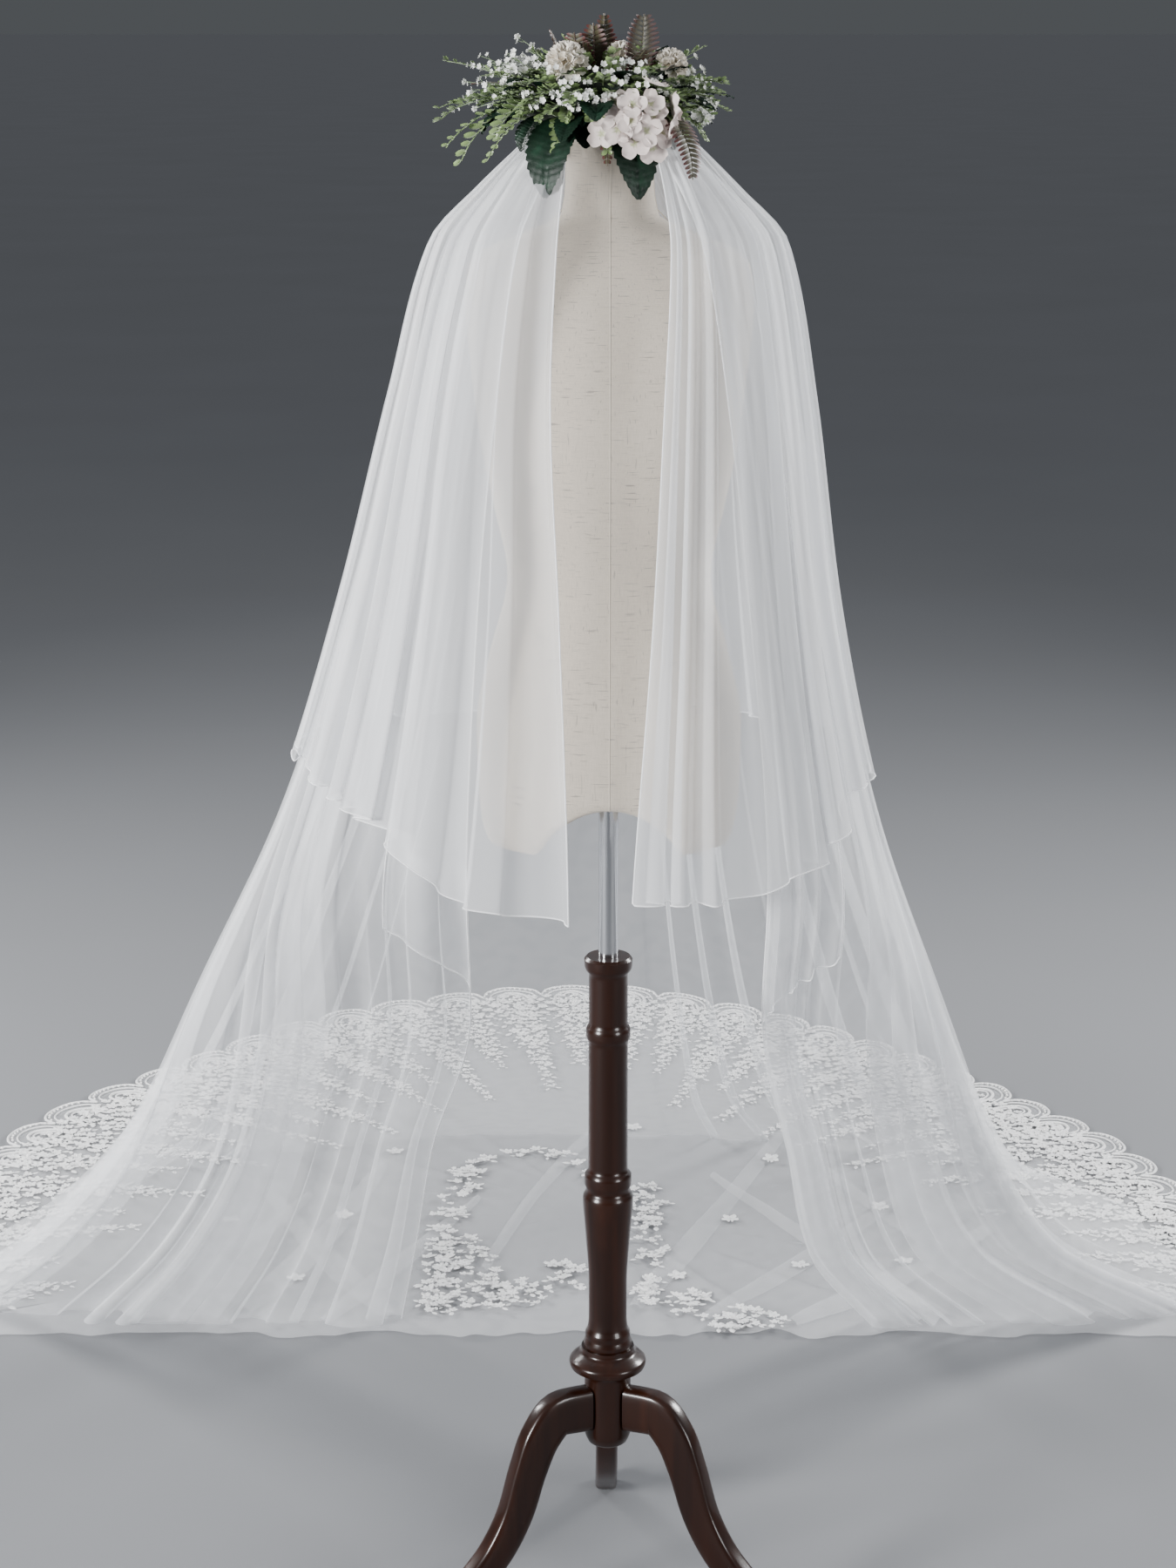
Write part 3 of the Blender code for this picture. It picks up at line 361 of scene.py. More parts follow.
MORE_SPRIGS = [
    Frond(-170.0, 8.0, 6.0, 0.092, 0.044, 50.0),
    Frond(-152.0, -14.0, -10.0, 0.104, 0.046, 60.0),
    Frond(-134.0, -4.0, 0.0, 0.080, 0.044, 60.0),
    Frond(-124.0, 26.0, 30.0, 0.056, 0.040, 50.0),
    Frond(-104.0, 14.0, 24.0, 0.050, 0.036, 70.0),
    Frond(-112.0, -24.0, -20.0, 0.056, 0.036, 60.0),
    Frond(-86.0, -30.0, -30.0, 0.050, 0.030, 50.0),
    Frond(-16.0, 24.0, 30.0, 0.056, 0.040, 50.0),
    Frond(-34.0, 2.0, 6.0, 0.054, 0.036, 50.0),
    Frond(-158.0, -6.0, -10.0, 0.100, 0.030, 40.0),
    Frond(-140.0, -20.0, -20.0, 0.090, 0.030, 40.0),
    Frond(-148.0, 30.0, 30.0, 0.066, 0.028, 40.0),
    Frond(-128.0, 10.0, 10.0, 0.052, 0.026, 60.0),
    Frond(-24.0, 10.0, 20.0, 0.054, 0.026, 40.0),
    Frond(-4.0, -6.0, 6.0, 0.050, 0.026, 40.0),
    Frond(-20.0, -26.0, -20.0, 0.050, 0.024, 40.0),
    Frond(150.0, 10.0, 12.0, 0.076, 0.030, 40.0),
    Frond(36.0, 10.0, 12.0, 0.060, 0.028, 40.0),
    Frond(96.0, 10.0, 12.0, 0.060, 0.028, 50.0),
]
# Small sprigs and leaves spread all over the base, each this part of a turn from the last
FILLERS = 120
FILLER_TURN = 0.382
FRONT_FILLERS = 46
Head = namedtuple("Head", "azimuth lift radius")
HYDRANGEA = Head(-66.0, -6.0, 0.0370)
# The hydrangea's front florets, across and up
Floret = namedtuple("Floret", "x z")
HYDRANGEA_FRONT = [
    Floret(-0.006, 1.917),
    Floret(0.022, 1.912),
    Floret(0.048, 1.918),
    Floret(0.008, 1.903),
    Floret(-0.010, 1.897),
    Floret(0.040, 1.901),
    Floret(0.058, 1.897),
    Floret(0.026, 1.888),
    Floret(0.047, 1.882),
    Floret(0.024, 1.930),
    Floret(0.006, 1.929),
    Floret(0.045, 1.931),
]
HYDRANGEA_MIDDLE = Vector((0.024, -0.072, 1.906))
HYDRANGEA_HALF = Vector((0.050, 0.034, 0.048))
RUFFLED_HEADS = {
    "carnation_left": Head(-116.0, 42.0, 0.0240),
    "rose_right": Head(-62.0, 62.0, 0.0190),
    "rose_far_right": Head(-22.0, 40.0, 0.0200),
}
BLOSSOM_HEADS = {
    "blossom_left": Head(-158.0, 28.0, 0.0190),
    "blossom_right": Head(-12.0, -8.0, 0.0180),
    "blossom_back_left": Head(140.0, 20.0, 0.0230),
    "blossom_back": Head(90.0, 24.0, 0.0250),
    "blossom_back_right": Head(40.0, 18.0, 0.0220),
}


class VeilCloth(bpy.types.PropertyGroup):
    colour: bpy.props.FloatVectorProperty(
        name="Tulle colour",
        description="Colour of the net",
        subtype="COLOR",
        default=(0.93, 0.945, 0.97),
        min=0.0,
        max=1.0,
    )
    long_cover: bpy.props.FloatProperty(
        name="Long tier cover",
        description="How much of what lies behind one layer of the long tier it hides",
        subtype="FACTOR",
        default=0.28,
        min=0.0,
        max=1.0,
    )
    short_cover: bpy.props.FloatProperty(
        name="Short tier cover",
        description="How much of what lies behind one layer of the short tier it hides",
        subtype="FACTOR",
        default=0.36,
        min=0.0,
        max=1.0,
    )
    overlap: bpy.props.FloatProperty(
        name="Fold overlap",
        description="How far the folds lap over each other, as a share of a fold's width",
        subtype="FACTOR",
        default=0.27,
        min=0.0,
        max=0.3,
    )
    edge_radius: bpy.props.FloatProperty(
        name="Rolled edge radius",
        description="Radius of the narrow rolled edges",
        subtype="DISTANCE",
        default=0.0009,
        min=0.0003,
        max=0.003,
    )


class LaceWork(bpy.types.PropertyGroup):
    thread: bpy.props.FloatVectorProperty(
        name="Thread colour",
        description="Colour of the embroidery",
        subtype="COLOR",
        default=(0.96, 0.96, 0.96),
        min=0.0,
        max=1.0,
    )
    ground_cover: bpy.props.FloatProperty(
        name="Ground cover",
        description="How much the net under the lace hides",
        subtype="FACTOR",
        default=0.24,
        min=0.0,
        max=1.0,
    )
    flower_radius: bpy.props.FloatProperty(
        name="Flower radius",
        description="Radius of the largest embroidered flowers",
        subtype="DISTANCE",
        default=0.0135,
        min=0.005,
        max=0.05,
    )
    bead_radius: bpy.props.FloatProperty(
        name="Bead radius",
        description="Radius of the pearls along the scallops",
        subtype="DISTANCE",
        default=0.0026,
        min=0.001,
        max=0.006,
    )


class FlowerColours(bpy.types.PropertyGroup):
    petal: bpy.props.FloatVectorProperty(
        name="Hydrangea petal",
        description="Colour of the large petals",
        subtype="COLOR",
        default=(0.78, 0.68, 0.64),
        min=0.0,
        max=1.0,
    )
    leaf: bpy.props.FloatVectorProperty(
        name="Leaf",
        description="Colour of the large dark leaves",
        subtype="COLOR",
        default=(0.005, 0.019, 0.010),
        min=0.0,
        max=1.0,
    )
    fern: bpy.props.FloatVectorProperty(
        name="Fern",
        description="Colour of the ferns' tips",
        subtype="COLOR",
        default=(0.085, 0.015, 0.013),
        min=0.0,
        max=1.0,
    )
    sprig: bpy.props.FloatVectorProperty(
        name="Sprig leaf",
        description="Colour of the light green sprigs",
        subtype="COLOR",
        default=(0.25, 0.37, 0.13),
        min=0.0,
        max=1.0,
    )


class FormAndStand(bpy.types.PropertyGroup):
    linen: bpy.props.FloatVectorProperty(
        name="Linen",
        description="Colour of the form's cover",
        subtype="COLOR",
        default=(0.64, 0.57, 0.48),
        min=0.0,
        max=1.0,
    )
    wood: bpy.props.FloatVectorProperty(
        name="Wood",
        description="Lighter colour of the stained wood",
        subtype="COLOR",
        default=(0.034, 0.0095, 0.004),
        min=0.0,
        max=1.0,
    )
    turned_sides: bpy.props.IntProperty(
        name="Turned sides",
        description="Number of sides round the turned column",
        default=64,
        min=16,
        max=128,
    )


class StudioStage(bpy.types.PropertyGroup):
    floor: bpy.props.FloatVectorProperty(
        name="Floor",
        description="Colour of the plain floor under the veil",
        subtype="COLOR",
        default=(0.175, 0.18, 0.19),
        min=0.0,
        max=1.0,
    )
    key_power: bpy.props.FloatProperty(
        name="Key light",
        description="Power of the large soft light",
        subtype="POWER",
        default=540.0,
        min=0.0,
    )
    rim_power: bpy.props.FloatProperty(
        name="Rim lights",
        description="Power of the two lights behind the veil",
        subtype="POWER",
        default=210.0,
        min=0.0,
    )
    lens: bpy.props.FloatProperty(
        name="Lens",
        description="Focal length of the camera on a 24 mm high sensor",
        subtype="DISTANCE_CAMERA",
        default=44.0,
        min=10.0,
    )


def monotone(xs, ys, at):
    """Smooth values between table entries, with no overshoot."""
    xs, ys, at = np.asarray(xs, float), np.asarray(ys, float), np.asarray(at, float)
    steps = np.diff(xs)
    slopes = np.diff(ys) / steps
    ends = np.concatenate([[slopes[0]], np.zeros(len(slopes) - 1), [slopes[-1]]])
    for i in range(1, len(slopes)):
        if slopes[i - 1] * slopes[i] > 0:
            ends[i] = 2 * slopes[i - 1] * slopes[i] / (slopes[i - 1] + slopes[i])
    k = np.clip(np.searchsorted(xs, at) - 1, 0, len(steps) - 1)
    t = np.clip((at - xs[k]) / steps[k], 0.0, 1.0)
    h = steps[k]
    return (
        ys[k] * (1 + 2 * t) * (1 - t) ** 2
        + ends[k] * h * t * (1 - t) ** 2
        + ys[k + 1] * t ** 2 * (3 - 2 * t)
        - ends[k + 1] * h * t ** 2 * (1 - t)
    )


def read_table(rows, key, column, at):
    """One column of a table, read smoothly where the column key equals at."""
    rows = sorted(rows, key=lambda row: getattr(row, key))
    xs = [getattr(row, key) for row in rows]
    return monotone(xs, [getattr(row, column) for row in rows], at)


def quarter(start, end, steps=40):
    """A squarish quarter curve that leaves start along X and reaches end along Y."""
    turn = np.linspace(0.0, math.pi / 2, steps + 1)
    x = start[0] + (end[0] - start[0]) * np.sin(turn) ** SQUARENESS
    y = end[1] + (start[1] - end[1]) * np.maximum(np.cos(turn), 0.0) ** SQUARENESS
    return np.column_stack([x, y])


def section(row, front_share, shares):
    """Points of a tier's smooth section at the given shares of its width, left edge to right."""
    left, right, middle = (row.left, row.side_y), (row.right, row.side_y), (0.0, row.back_y)
    curves = [
        quarter((row.edge_lx, row.edge_ly), left),
        quarter(middle, left)[::-1],
        quarter(middle, right),
        quarter((row.edge_rx, row.edge_ry), right)[::-1],
    ]
    spans = [0.0, front_share, 0.5, 1.0 - front_share, 1.0]
    at, points = [], []
    for curve, start, end in zip(curves, spans, spans[1:]):
        run = np.concatenate([[0.0], np.cumsum(np.hypot(*np.diff(curve, axis=0).T))])
        at.append(start + (end - start) * run / run[-1])
        points.append(curve)
    at, points = np.concatenate(at), np.concatenate(points)
    return np.column_stack([np.interp(shares, at, points[:, k]) for k in (0, 1)])


def tier_cloth(table, front_share, folds, shares, heights, overlap, clear=0.0):
    """Points of a tier's cloth: a row of heights for each row of cloth, a column for each share.

    The folds swing out and in, and lap sideways, so that their flanks lie over each other.
    """
    levels = np.linspace(table[-1].z, table[0].z, LEVELS)
    columns = {name: read_table(table, "z", name, levels) for name in Tier._fields}
    near, at, far = [], [], []
    for k in range(LEVELS):
        row = Tier(*[columns[name][k] for name in Tier._fields])
        near.append(section(row, front_share, np.clip(shares - DIRECTION_STEP, 0.0, 1.0)))
        at.append(section(row, front_share, shares))
        far.append(section(row, front_share, np.clip(shares + DIRECTION_STEP, 0.0, 1.0)))
    along = np.array(far) - np.array(near)
    along /= np.linalg.norm(along, axis=2, keepdims=True)
    at = np.array(at)
    length = np.linalg.norm(np.diff(at, axis=1), axis=2).sum(axis=1) / (shares[-1] - shares[0])
    points = np.empty((len(heights), len(shares), 3))
    for j, share in enumerate(shares):
        z = heights[:, j]
        place = np.column_stack([np.interp(z, levels, at[:, j, k]) for k in (0, 1)])
        way = np.column_stack([np.interp(z, levels, along[:, j, k]) for k in (0, 1)])
        out = np.column_stack([-way[:, 1], way[:, 0]])
        depth = np.interp(z, levels, columns["fold"])
        fold_width = np.interp(z, levels, length) / folds
        swing, lap = fold_shape(share, folds, z)
        edge = min(share, 1.0 - share) * folds
        hold = min(edge / 0.5, 1.0)
        moved = place + out * (clear + depth * swing)[:, None]
        wide = np.minimum(fold_width, 9.0 * depth) * np.interp(z, (0.3, 1.6), (1.0, 0.55))
        moved += way * (overlap * hold * lap * wide)[:, None]
        points[:, j, :2] = moved
        points[:, j, 2] = z
    return points


def fold_shape(share, folds, z):
    """How far the cloth swings out (-1 to 1) and laps sideways at a share and heights.

    The folds bunch up and spread out round the tier, and some lap far more than others.
    """
    turn = 2 * math.pi * share
    bunch = share + 0.016 * math.sin(5 * turn + 0.9) + 0.009 * math.sin(9 * turn + 2.2)
    sway = 0.30 * np.sin(2.6 * z + 9.0 * turn) + 0.22 * math.sin(2 * turn + 0.4) * (1.9 - z)
    depth = 0.75 + 0.38 * math.sin(5 * turn + 1.9) + 0.30 * math.sin(11 * turn + 0.5)
    around = 2 * math.pi * bunch * folds + sway
    fine = 0.05 * np.sin(3.0 * around + 4.0 * math.sin(7 * turn))
    swing = depth * (np.sin(around) + fine)
    strength = 0.60 + 0.50 * math.sin(7 * turn + 1.3) + 0.35 * math.sin(13 * turn + 2.1)
    lap = -max(strength, 0.0) * np.sin(2.0 * around)
    return swing, lap


def cloth_mesh(points):
    """A grid of quads through rows of points, with a UV map across (U) and down (V)."""
    rows, columns = points.shape[:2]
    bm = bmesh.new()
    bm.loops.layers.uv.new("UVMap")
    made = bmesh.ops.create_grid(
        bm, x_segments=columns - 1, y_segments=rows - 1, size=1.0, calc_uvs=True
    )
    for v in made["verts"]:
        j = round((v.co.x + 1.0) / 2.0 * (columns - 1))
        i = round((1.0 - v.co.y) / 2.0 * (rows - 1))
        v.co = points[i, j]
    return bm


def patch(bm, across, along, place):
    """Adds a grid whose points go where place(u, v) puts them: u is -1 to 1, v is 0 to 1."""
    grid = bmesh.new()
    grid.loops.layers.uv.new("UVMap")
    made = bmesh.ops.create_grid(grid, x_segments=across, y_segments=along, size=1.0, calc_uvs=True)
    for v in made["verts"]:
        v.co = place(v.co.x, 0.5 + 0.5 * v.co.y)
    mesh = bpy.data.meshes.new("patch")
    grid.to_mesh(mesh)
    grid.free()
    bm.from_mesh(mesh)
    bpy.data.meshes.remove(mesh)


def tube(bm, points, radius, sides=6, closed=False):
    """Adds a round thread along points."""
    data = bpy.data.curves.new("thread", "CURVE")
    data.dimensions = "3D"
    data.bevel_depth = radius
    data.bevel_resolution = max((sides - 4) // 2, 0)
    data.use_fill_caps = not closed
    line = data.splines.new("POLY")
    line.points.add(len(points) - 1)
    line.use_cyclic_u = closed
    for spot, p in zip(line.points, points):
        spot.co = (*p, 1.0)
    holder = bpy.data.objects.new("thread", data)
    mesh = bpy.data.meshes.new_from_object(holder)
    bm.from_mesh(mesh)
    bpy.data.objects.remove(holder)
    bpy.data.curves.remove(data)
    bpy.data.meshes.remove(mesh)


def joined_copies(template, matrices):
    """One bmesh that holds the template once for each matrix."""
    points = np.array([(*v.co, 1.0) for v in template.verts])
    faces = [[v.index for v in face.verts] for face in template.faces]
    template.free()
    moved = [points @ np.array(matrix).T[:, :3] for matrix in matrices]
    copies = [[k + n * len(points) for k in face] for n in range(len(matrices)) for face in faces]
    mesh = bpy.data.meshes.new("copies")
    mesh.from_pydata(np.concatenate(moved).tolist(), [], copies)
    bm = bmesh.new()
    bm.from_mesh(mesh)
    bpy.data.meshes.remove(mesh)
    return bm


def finish_piece(name, bm, material, replaces=(), sharp=None):
    """Turns a bmesh in form coordinates into a piece that rides on the frame."""
    bmesh.ops.translate(bm, verts=bm.verts, vec=AXIS)
    mesh = bpy.data.meshes.new(name)
    bm.to_mesh(mesh)
    bm.free()
    mesh.materials.append(material)
    mesh.shade_smooth()
    if sharp is not None:
        mesh.set_sharp_from_angle(angle=math.radians(sharp))
    piece = bpy.data.objects.new(name, mesh)
    bpy.context.collection.objects.link(piece)
    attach(piece, "root")
    if replaces:
        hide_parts(*replaces)
    return piece


def new_material(name, colour, roughness, **sockets):
    """A material and its Principled shader, with constant values on the shader's own sockets."""
    made = bpy.data.materials.new(name)
    made.use_nodes = True
    shader = made.node_tree.nodes["Principled BSDF"]
    shader.inputs["Base Color"].default_value = (*colour, 1.0)
    shader.inputs["Roughness"].default_value = roughness
    for socket, value in sockets.items():
        shader.inputs[socket.replace("_", " ")].default_value = value
    return made, shader


def texture(material, kind, scale, stretch=(1.0, 1.0, 1.0), source="Object", **values):
    """A procedural texture on the piece's own coordinates, stretched along its axes."""
    nodes, links = material.node_tree.nodes, material.node_tree.links
    coords = nodes.new("ShaderNodeTexCoord")
    mapping = nodes.new("ShaderNodeMapping")
    mapping.inputs["Scale"].default_value = stretch
    links.new(coords.outputs[source], mapping.inputs["Vector"])
    made = nodes.new(kind)
    links.new(mapping.outputs["Vector"], made.inputs["Vector"])
    made.inputs["Scale"].default_value = scale
    for socket, value in values.items():
        made.inputs[socket.replace("_", " ")].default_value = value
    return made


def ramp(material, fac, stops):
    """A colour ramp of (position, colour) stops, fed by fac."""
    nodes, links = material.node_tree.nodes, material.node_tree.links
    made = nodes.new("ShaderNodeValToRGB")
    elements = made.color_ramp.elements
    while len(elements) < len(stops):
        elements.new(0.5)
    for element, (position, colour) in zip(elements, stops):
        element.position = position
        element.color = (*colour, 1.0)
    links.new(fac, made.inputs["Fac"])
    return made.outputs["Color"]


def mixed(material, fac, first, second, blend="MIX"):
    """A colour mixed from two; each is an output or a colour, and fac an output or a number."""
    nodes, links = material.node_tree.nodes, material.node_tree.links
    made = nodes.new("ShaderNodeMix")
    made.data_type = "RGBA"
    made.blend_type = blend
    for value, socket in ((fac, made.inputs[0]), (first, made.inputs[6]), (second, made.inputs[7])):
        if isinstance(value, bpy.types.NodeSocket):
            links.new(value, socket)
        elif isinstance(value, tuple):
            socket.default_value = (*value, 1.0)
        else:
            socket.default_value = value
    return made.outputs[2]


def bump(material, shader, height, strength, distance):
    nodes, links = material.node_tree.nodes, material.node_tree.links
    made = nodes.new("ShaderNodeBump")
    made.inputs["Strength"].default_value = strength
    made.inputs["Distance"].default_value = distance
    links.new(height, made.inputs["Height"])
    links.new(made.outputs["Normal"], shader.inputs["Normal"])


def colour_from(material, shader, output):
    material.node_tree.links.new(output, shader.inputs["Base Color"])


def scaled(colour, factor):
    return tuple(min(c * factor, 1.0) for c in colour)


def tulle(name, cover):
    """Sheer net: see-through by a constant share, with a soft sheen and faint streaks."""
    colour = tuple(bpy.context.scene.veil_cloth.colour)
    made, shader = new_material(
        name, colour, 0.75, Alpha=cover, Sheen_Weight=0.4, Sheen_Roughness=0.35
    )
    streaks = texture(made, "ShaderNodeTexNoise", 40.0, (1.0, 1.0, 0.12), Detail=0.0)
    colour_from(made, shader, ramp(made, streaks.outputs["Fac"], [
        (0.30, scaled(colour, 0.95)),
        (0.60, scaled(colour, 1.03)),
    ]))
    return made


def edge_thread():
    """The narrow rolled edges of the tulle."""
    made, shader = new_material("rolled_edge", (0.95, 0.96, 0.98), 0.6, Sheen_Weight=0.4)
    twist = texture(made, "ShaderNodeTexWave", 260.0, (1.0, 1.0, 1.0), Distortion=2.0)
    bump(made, shader, twist.outputs["Fac"], 0.3, 0.0005)
    return made


def embroidery():
    """Satin-stitched thread: white, with a fine stitch relief and a soft gloss."""
    thread = tuple(bpy.context.scene.lace_work.thread)
    made, shader = new_material("embroidery", thread, 0.42, Sheen_Weight=0.35)
    stitch = texture(made, "ShaderNodeTexWave", 420.0, source="Object", Distortion=3.0, Detail=2.0)
    colour_from(made, shader, ramp(made, stitch.outputs["Fac"], [
        (0.0, scaled(thread, 0.86)),
        (0.6, thread),
    ]))
    bump(made, shader, stitch.outputs["Fac"], 0.5, 0.0008)
    return made


def pearl():
    made, shader = new_material("pearl", (0.94, 0.93, 0.91), 0.18, Coat_Weight=0.6)
    cloud = texture(made, "ShaderNodeTexNoise", 300.0)
    colour_from(made, shader, ramp(made, cloud.outputs["Fac"], [
        (0.3, (0.90, 0.88, 0.86)),
        (0.7, (0.97, 0.97, 0.96)),
    ]))
    return made


def linen():
    """Slubbed linen: crossed threads, with short thick and dark stretches in both directions."""
    colour = tuple(bpy.context.scene.form_and_stand.linen)
    made, shader = new_material("linen", colour, 0.85, Sheen_Weight=0.25, Sheen_Roughness=0.5)
    weft = texture(made, "ShaderNodeTexNoise", 60.0, (1.0, 1.0, 16.0), Detail=5.0, Roughness=0.7)
    warp = texture(made, "ShaderNodeTexNoise", 60.0, (14.0, 14.0, 1.0), Detail=5.0, Roughness=0.7)
    slub = texture(made, "ShaderNodeTexNoise", 44.0, (1.0, 1.0, 15.0), Detail=1.0, Roughness=0.4)
    stem = texture(made, "ShaderNodeTexNoise", 44.0, (13.0, 13.0, 1.0), Detail=1.0, Roughness=0.4)
    threads = mixed(made, 0.5, weft.outputs["Color"], warp.outputs["Color"])
    body = ramp(made, threads, [
        (0.30, scaled(colour, 0.80)),
        (0.50, colour),
        (0.72, scaled(colour, 1.18)),
    ])
    grey = (0.30, 0.27, 0.24)
    dark_weft = ramp(made, slub.outputs["Fac"], [(0.66, (0.0, 0.0, 0.0)), (0.74, (0.75, 0.75, 0.75))])
    dark_warp = ramp(made, stem.outputs["Fac"], [(0.68, (0.0, 0.0, 0.0)), (0.76, (0.6, 0.6, 0.6))])
    body = mixed(made, dark_weft, body, grey)
    colour_from(made, shader, mixed(made, dark_warp, body, grey))
    bump(made, shader, threads, 0.35, 0.0012)
    return made


def stained_wood():
    """Dark stained wood under a clear gloss coat, with grain along each turned piece."""
    light = tuple(bpy.context.scene.form_and_stand.wood)
    made, shader = new_material("stained_wood", light, 0.30, Specular_IOR_Level=0.25, Coat_Weight=0.22, Coat_Roughness=0.10)
    grain = texture(made, "ShaderNodeTexNoise", 42.0, (1.0, 1.0, 0.06), Detail=6.0, Distortion=0.6)
    patches = texture(made, "ShaderNodeTexNoise", 9.0, (1.0, 1.0, 0.5), Detail=2.0)
    body = ramp(made, grain.outputs["Fac"], [
        (0.32, scaled(light, 0.22)),
        (0.55, scaled(light, 0.60)),
        (0.75, light),
    ])
    colour_from(made, shader, mixed(made, patches.outputs["Fac"], body, scaled(light, 0.35)))
    bump(made, shader, grain.outputs["Fac"], 0.08, 0.0006)
    return made


def chrome():
    made, shader = new_material("chrome", (0.60, 0.61, 0.63), 0.12, Metallic=1.0)
    wear = texture(made, "ShaderNodeTexNoise", 60.0, (1.0, 1.0, 0.12), Detail=5.0)
    streaks = ramp(made, wear.outputs["Fac"], [(0.3, (0.09, 0.09, 0.09)), (0.8, (0.30, 0.30, 0.30))])
    made.node_tree.links.new(streaks, shader.inputs["Roughness"])
    return made


def leaf_green():
    """Dark leaf: its tone mottled at random, with a fine relief of pores. Its map runs U across and V
    from root to tip.
    """
    colour = tuple(bpy.context.scene.flower_colours.leaf)
    made, shader = new_material("dark_leaf", colour, 0.5, Specular_IOR_Level=0.28)
    cloud = texture(made, "ShaderNodeTexNoise", 60.0, Detail=3.0)
    colour_from(made, shader, ramp(made, cloud.outputs["Fac"], [
        (0.30, scaled(colour, 0.55)),
        (0.55, colour),
        (0.80, scaled(colour, 2.2)),
    ]))
    pores = texture(made, "ShaderNodeTexVoronoi", 520.0)
    bump(made, shader, pores.outputs["Distance"], 0.2, 0.0006)
    return made


def along_material(name, root, tip, roughness, start=0.2, end=0.85):
    """A finish that turns from a root colour to a tip colour along the map's V."""
    made, shader = new_material(name, tip, roughness, Sheen_Weight=0.2)
    nodes, links = made.node_tree.nodes, made.node_tree.links
    coords = nodes.new("ShaderNodeTexCoord")
    split = nodes.new("ShaderNodeSeparateXYZ")
    links.new(coords.outputs["UV"], split.inputs["Vector"])
    body = ramp(made, split.outputs["Y"], [(start, root), (end, tip)])
    cloud = texture(made, "ShaderNodeTexNoise", 90.0, Detail=3.0)
    shade = ramp(made, cloud.outputs["Fac"], [(0.3, (0.72, 0.72, 0.72)), (0.7, (1.0, 1.0, 1.0))])
    colour_from(made, shader, mixed(made, 1.0, body, shade, "MULTIPLY"))
    bump(made, shader, cloud.outputs["Fac"], 0.25, 0.0008)
    return made


def plain_floor():
    colour = tuple(bpy.context.scene.studio_stage.floor)
    made, shader = new_material("plain_floor", colour, 0.9)
    cloud = texture(made, "ShaderNodeTexNoise", 0.8, Detail=2.0)
    colour_from(made, shader, ramp(made, cloud.outputs["Fac"], [
        (0.3, scaled(colour, 0.97)),
        (0.7, scaled(colour, 1.02)),
    ]))
    return made


class VEIL_OT_camera(bpy.types.Operator):
    """Places the camera at the photograph's viewing angle"""

    bl_idname = "veil.camera"
    bl_label = "Camera"

    def execute(self, context):
        data = bpy.data.cameras.new("camera")
        data.sensor_fit = "VERTICAL"
        data.sensor_height = 24.0
        data.lens = context.scene.studio_stage.lens
        data.clip_end = 2.0 * FLOOR_HALF
        camera = bpy.data.objects.new("camera", data)
        camera.location = AXIS + Vector((-0.0255, -3.415, 2.028))
        camera.rotation_euler = (math.radians(75.0), 0.0, 0.0)
        context.collection.objects.link(camera)
        context.scene.camera = camera
        return {"FINISHED"}


class VEIL_OT_stage(bpy.types.Operator):
    """Adds a plain pale floor and soft studio lights"""

    bl_idname = "veil.stage"
    bl_label = "Stage"

    def execute(self, context):
        settings = context.scene.studio_stage
        bm = bmesh.new()
        bmesh.ops.create_grid(bm, x_segments=8, y_segments=8, size=FLOOR_HALF)
        mesh = bpy.data.meshes.new("studio_floor")
        bm.to_mesh(mesh)
        bm.free()
        mesh.materials.append(plain_floor())
        ground = bpy.data.objects.new("studio_floor", mesh)
        context.collection.objects.link(ground)
        key, rim = settings.key_power, settings.rim_power
        soft_light("key_light", (-4.2, -3.0, 2.0), (0.0, 0.2, 1.2), key, 1.5)
        soft_light("fill_light", (4.0, -3.4, 1.7), (0.0, 0.3, 1.1), 0.30 * key, 1.8)
        soft_light("rim_left", (-3.2, 2.4, 2.4), (0.0, 0.4, 1.0), rim, 1.2)
        soft_light("rim_right", (3.4, 2.2, 2.4), (0.0, 0.4, 1.0), 1.3 * rim, 1.2)
        world = bpy.data.worlds.new("studio")
        world.use_nodes = True
        nodes, links = world.node_tree.nodes, world.node_tree.links
        coords = nodes.new("ShaderNodeTexCoord")
        split = nodes.new("ShaderNodeSeparateXYZ")
        links.new(coords.outputs["Generated"], split.inputs["Vector"])
        glow = ramp(world, split.outputs["Z"], [
            (0.08, (0.082, 0.088, 0.094)),
            (0.50, (0.36, 0.375, 0.40)),
        ])
        links.new(glow, nodes["Background"].inputs["Color"])
        context.scene.world = world
        return {"FINISHED"}


def soft_light(name, at, aim, power, size):
    data = bpy.data.lights.new(name, "AREA")
    data.energy = power
    data.shape = "DISK"
    data.size = size
    light = bpy.data.objects.new(name, data)
    light.location = AXIS + Vector(at)
    light.rotation_euler = (Vector(aim) - Vector(at)).to_track_quat("-Z", "Y").to_euler()
    light.visible_camera = False
    bpy.context.collection.objects.link(light)


def even_shares(folds, start=0.0, end=1.0):
    count = max(round(folds * COLUMNS_PER_FOLD * abs(end - start)), 8)
    return np.linspace(start, end, count + 1)


class VEIL_OT_tiers(bpy.types.Operator):
    """Makes the long tier, the short tier and its two turned-back corners"""

    bl_idname = "veil.tiers"
    bl_label = "Tiers"

    def execute(self, context):
        settings = context.scene.veil_cloth
        long_net = tulle("long_tulle", settings.long_cover)
        short_net = tulle("short_tulle", settings.short_cover)
        long_tier(settings, long_net)
        short_tier(settings, short_net)
        for corner in CORNERS:
            turned_corner(corner, settings, long_net)
        return {"FINISHED"}


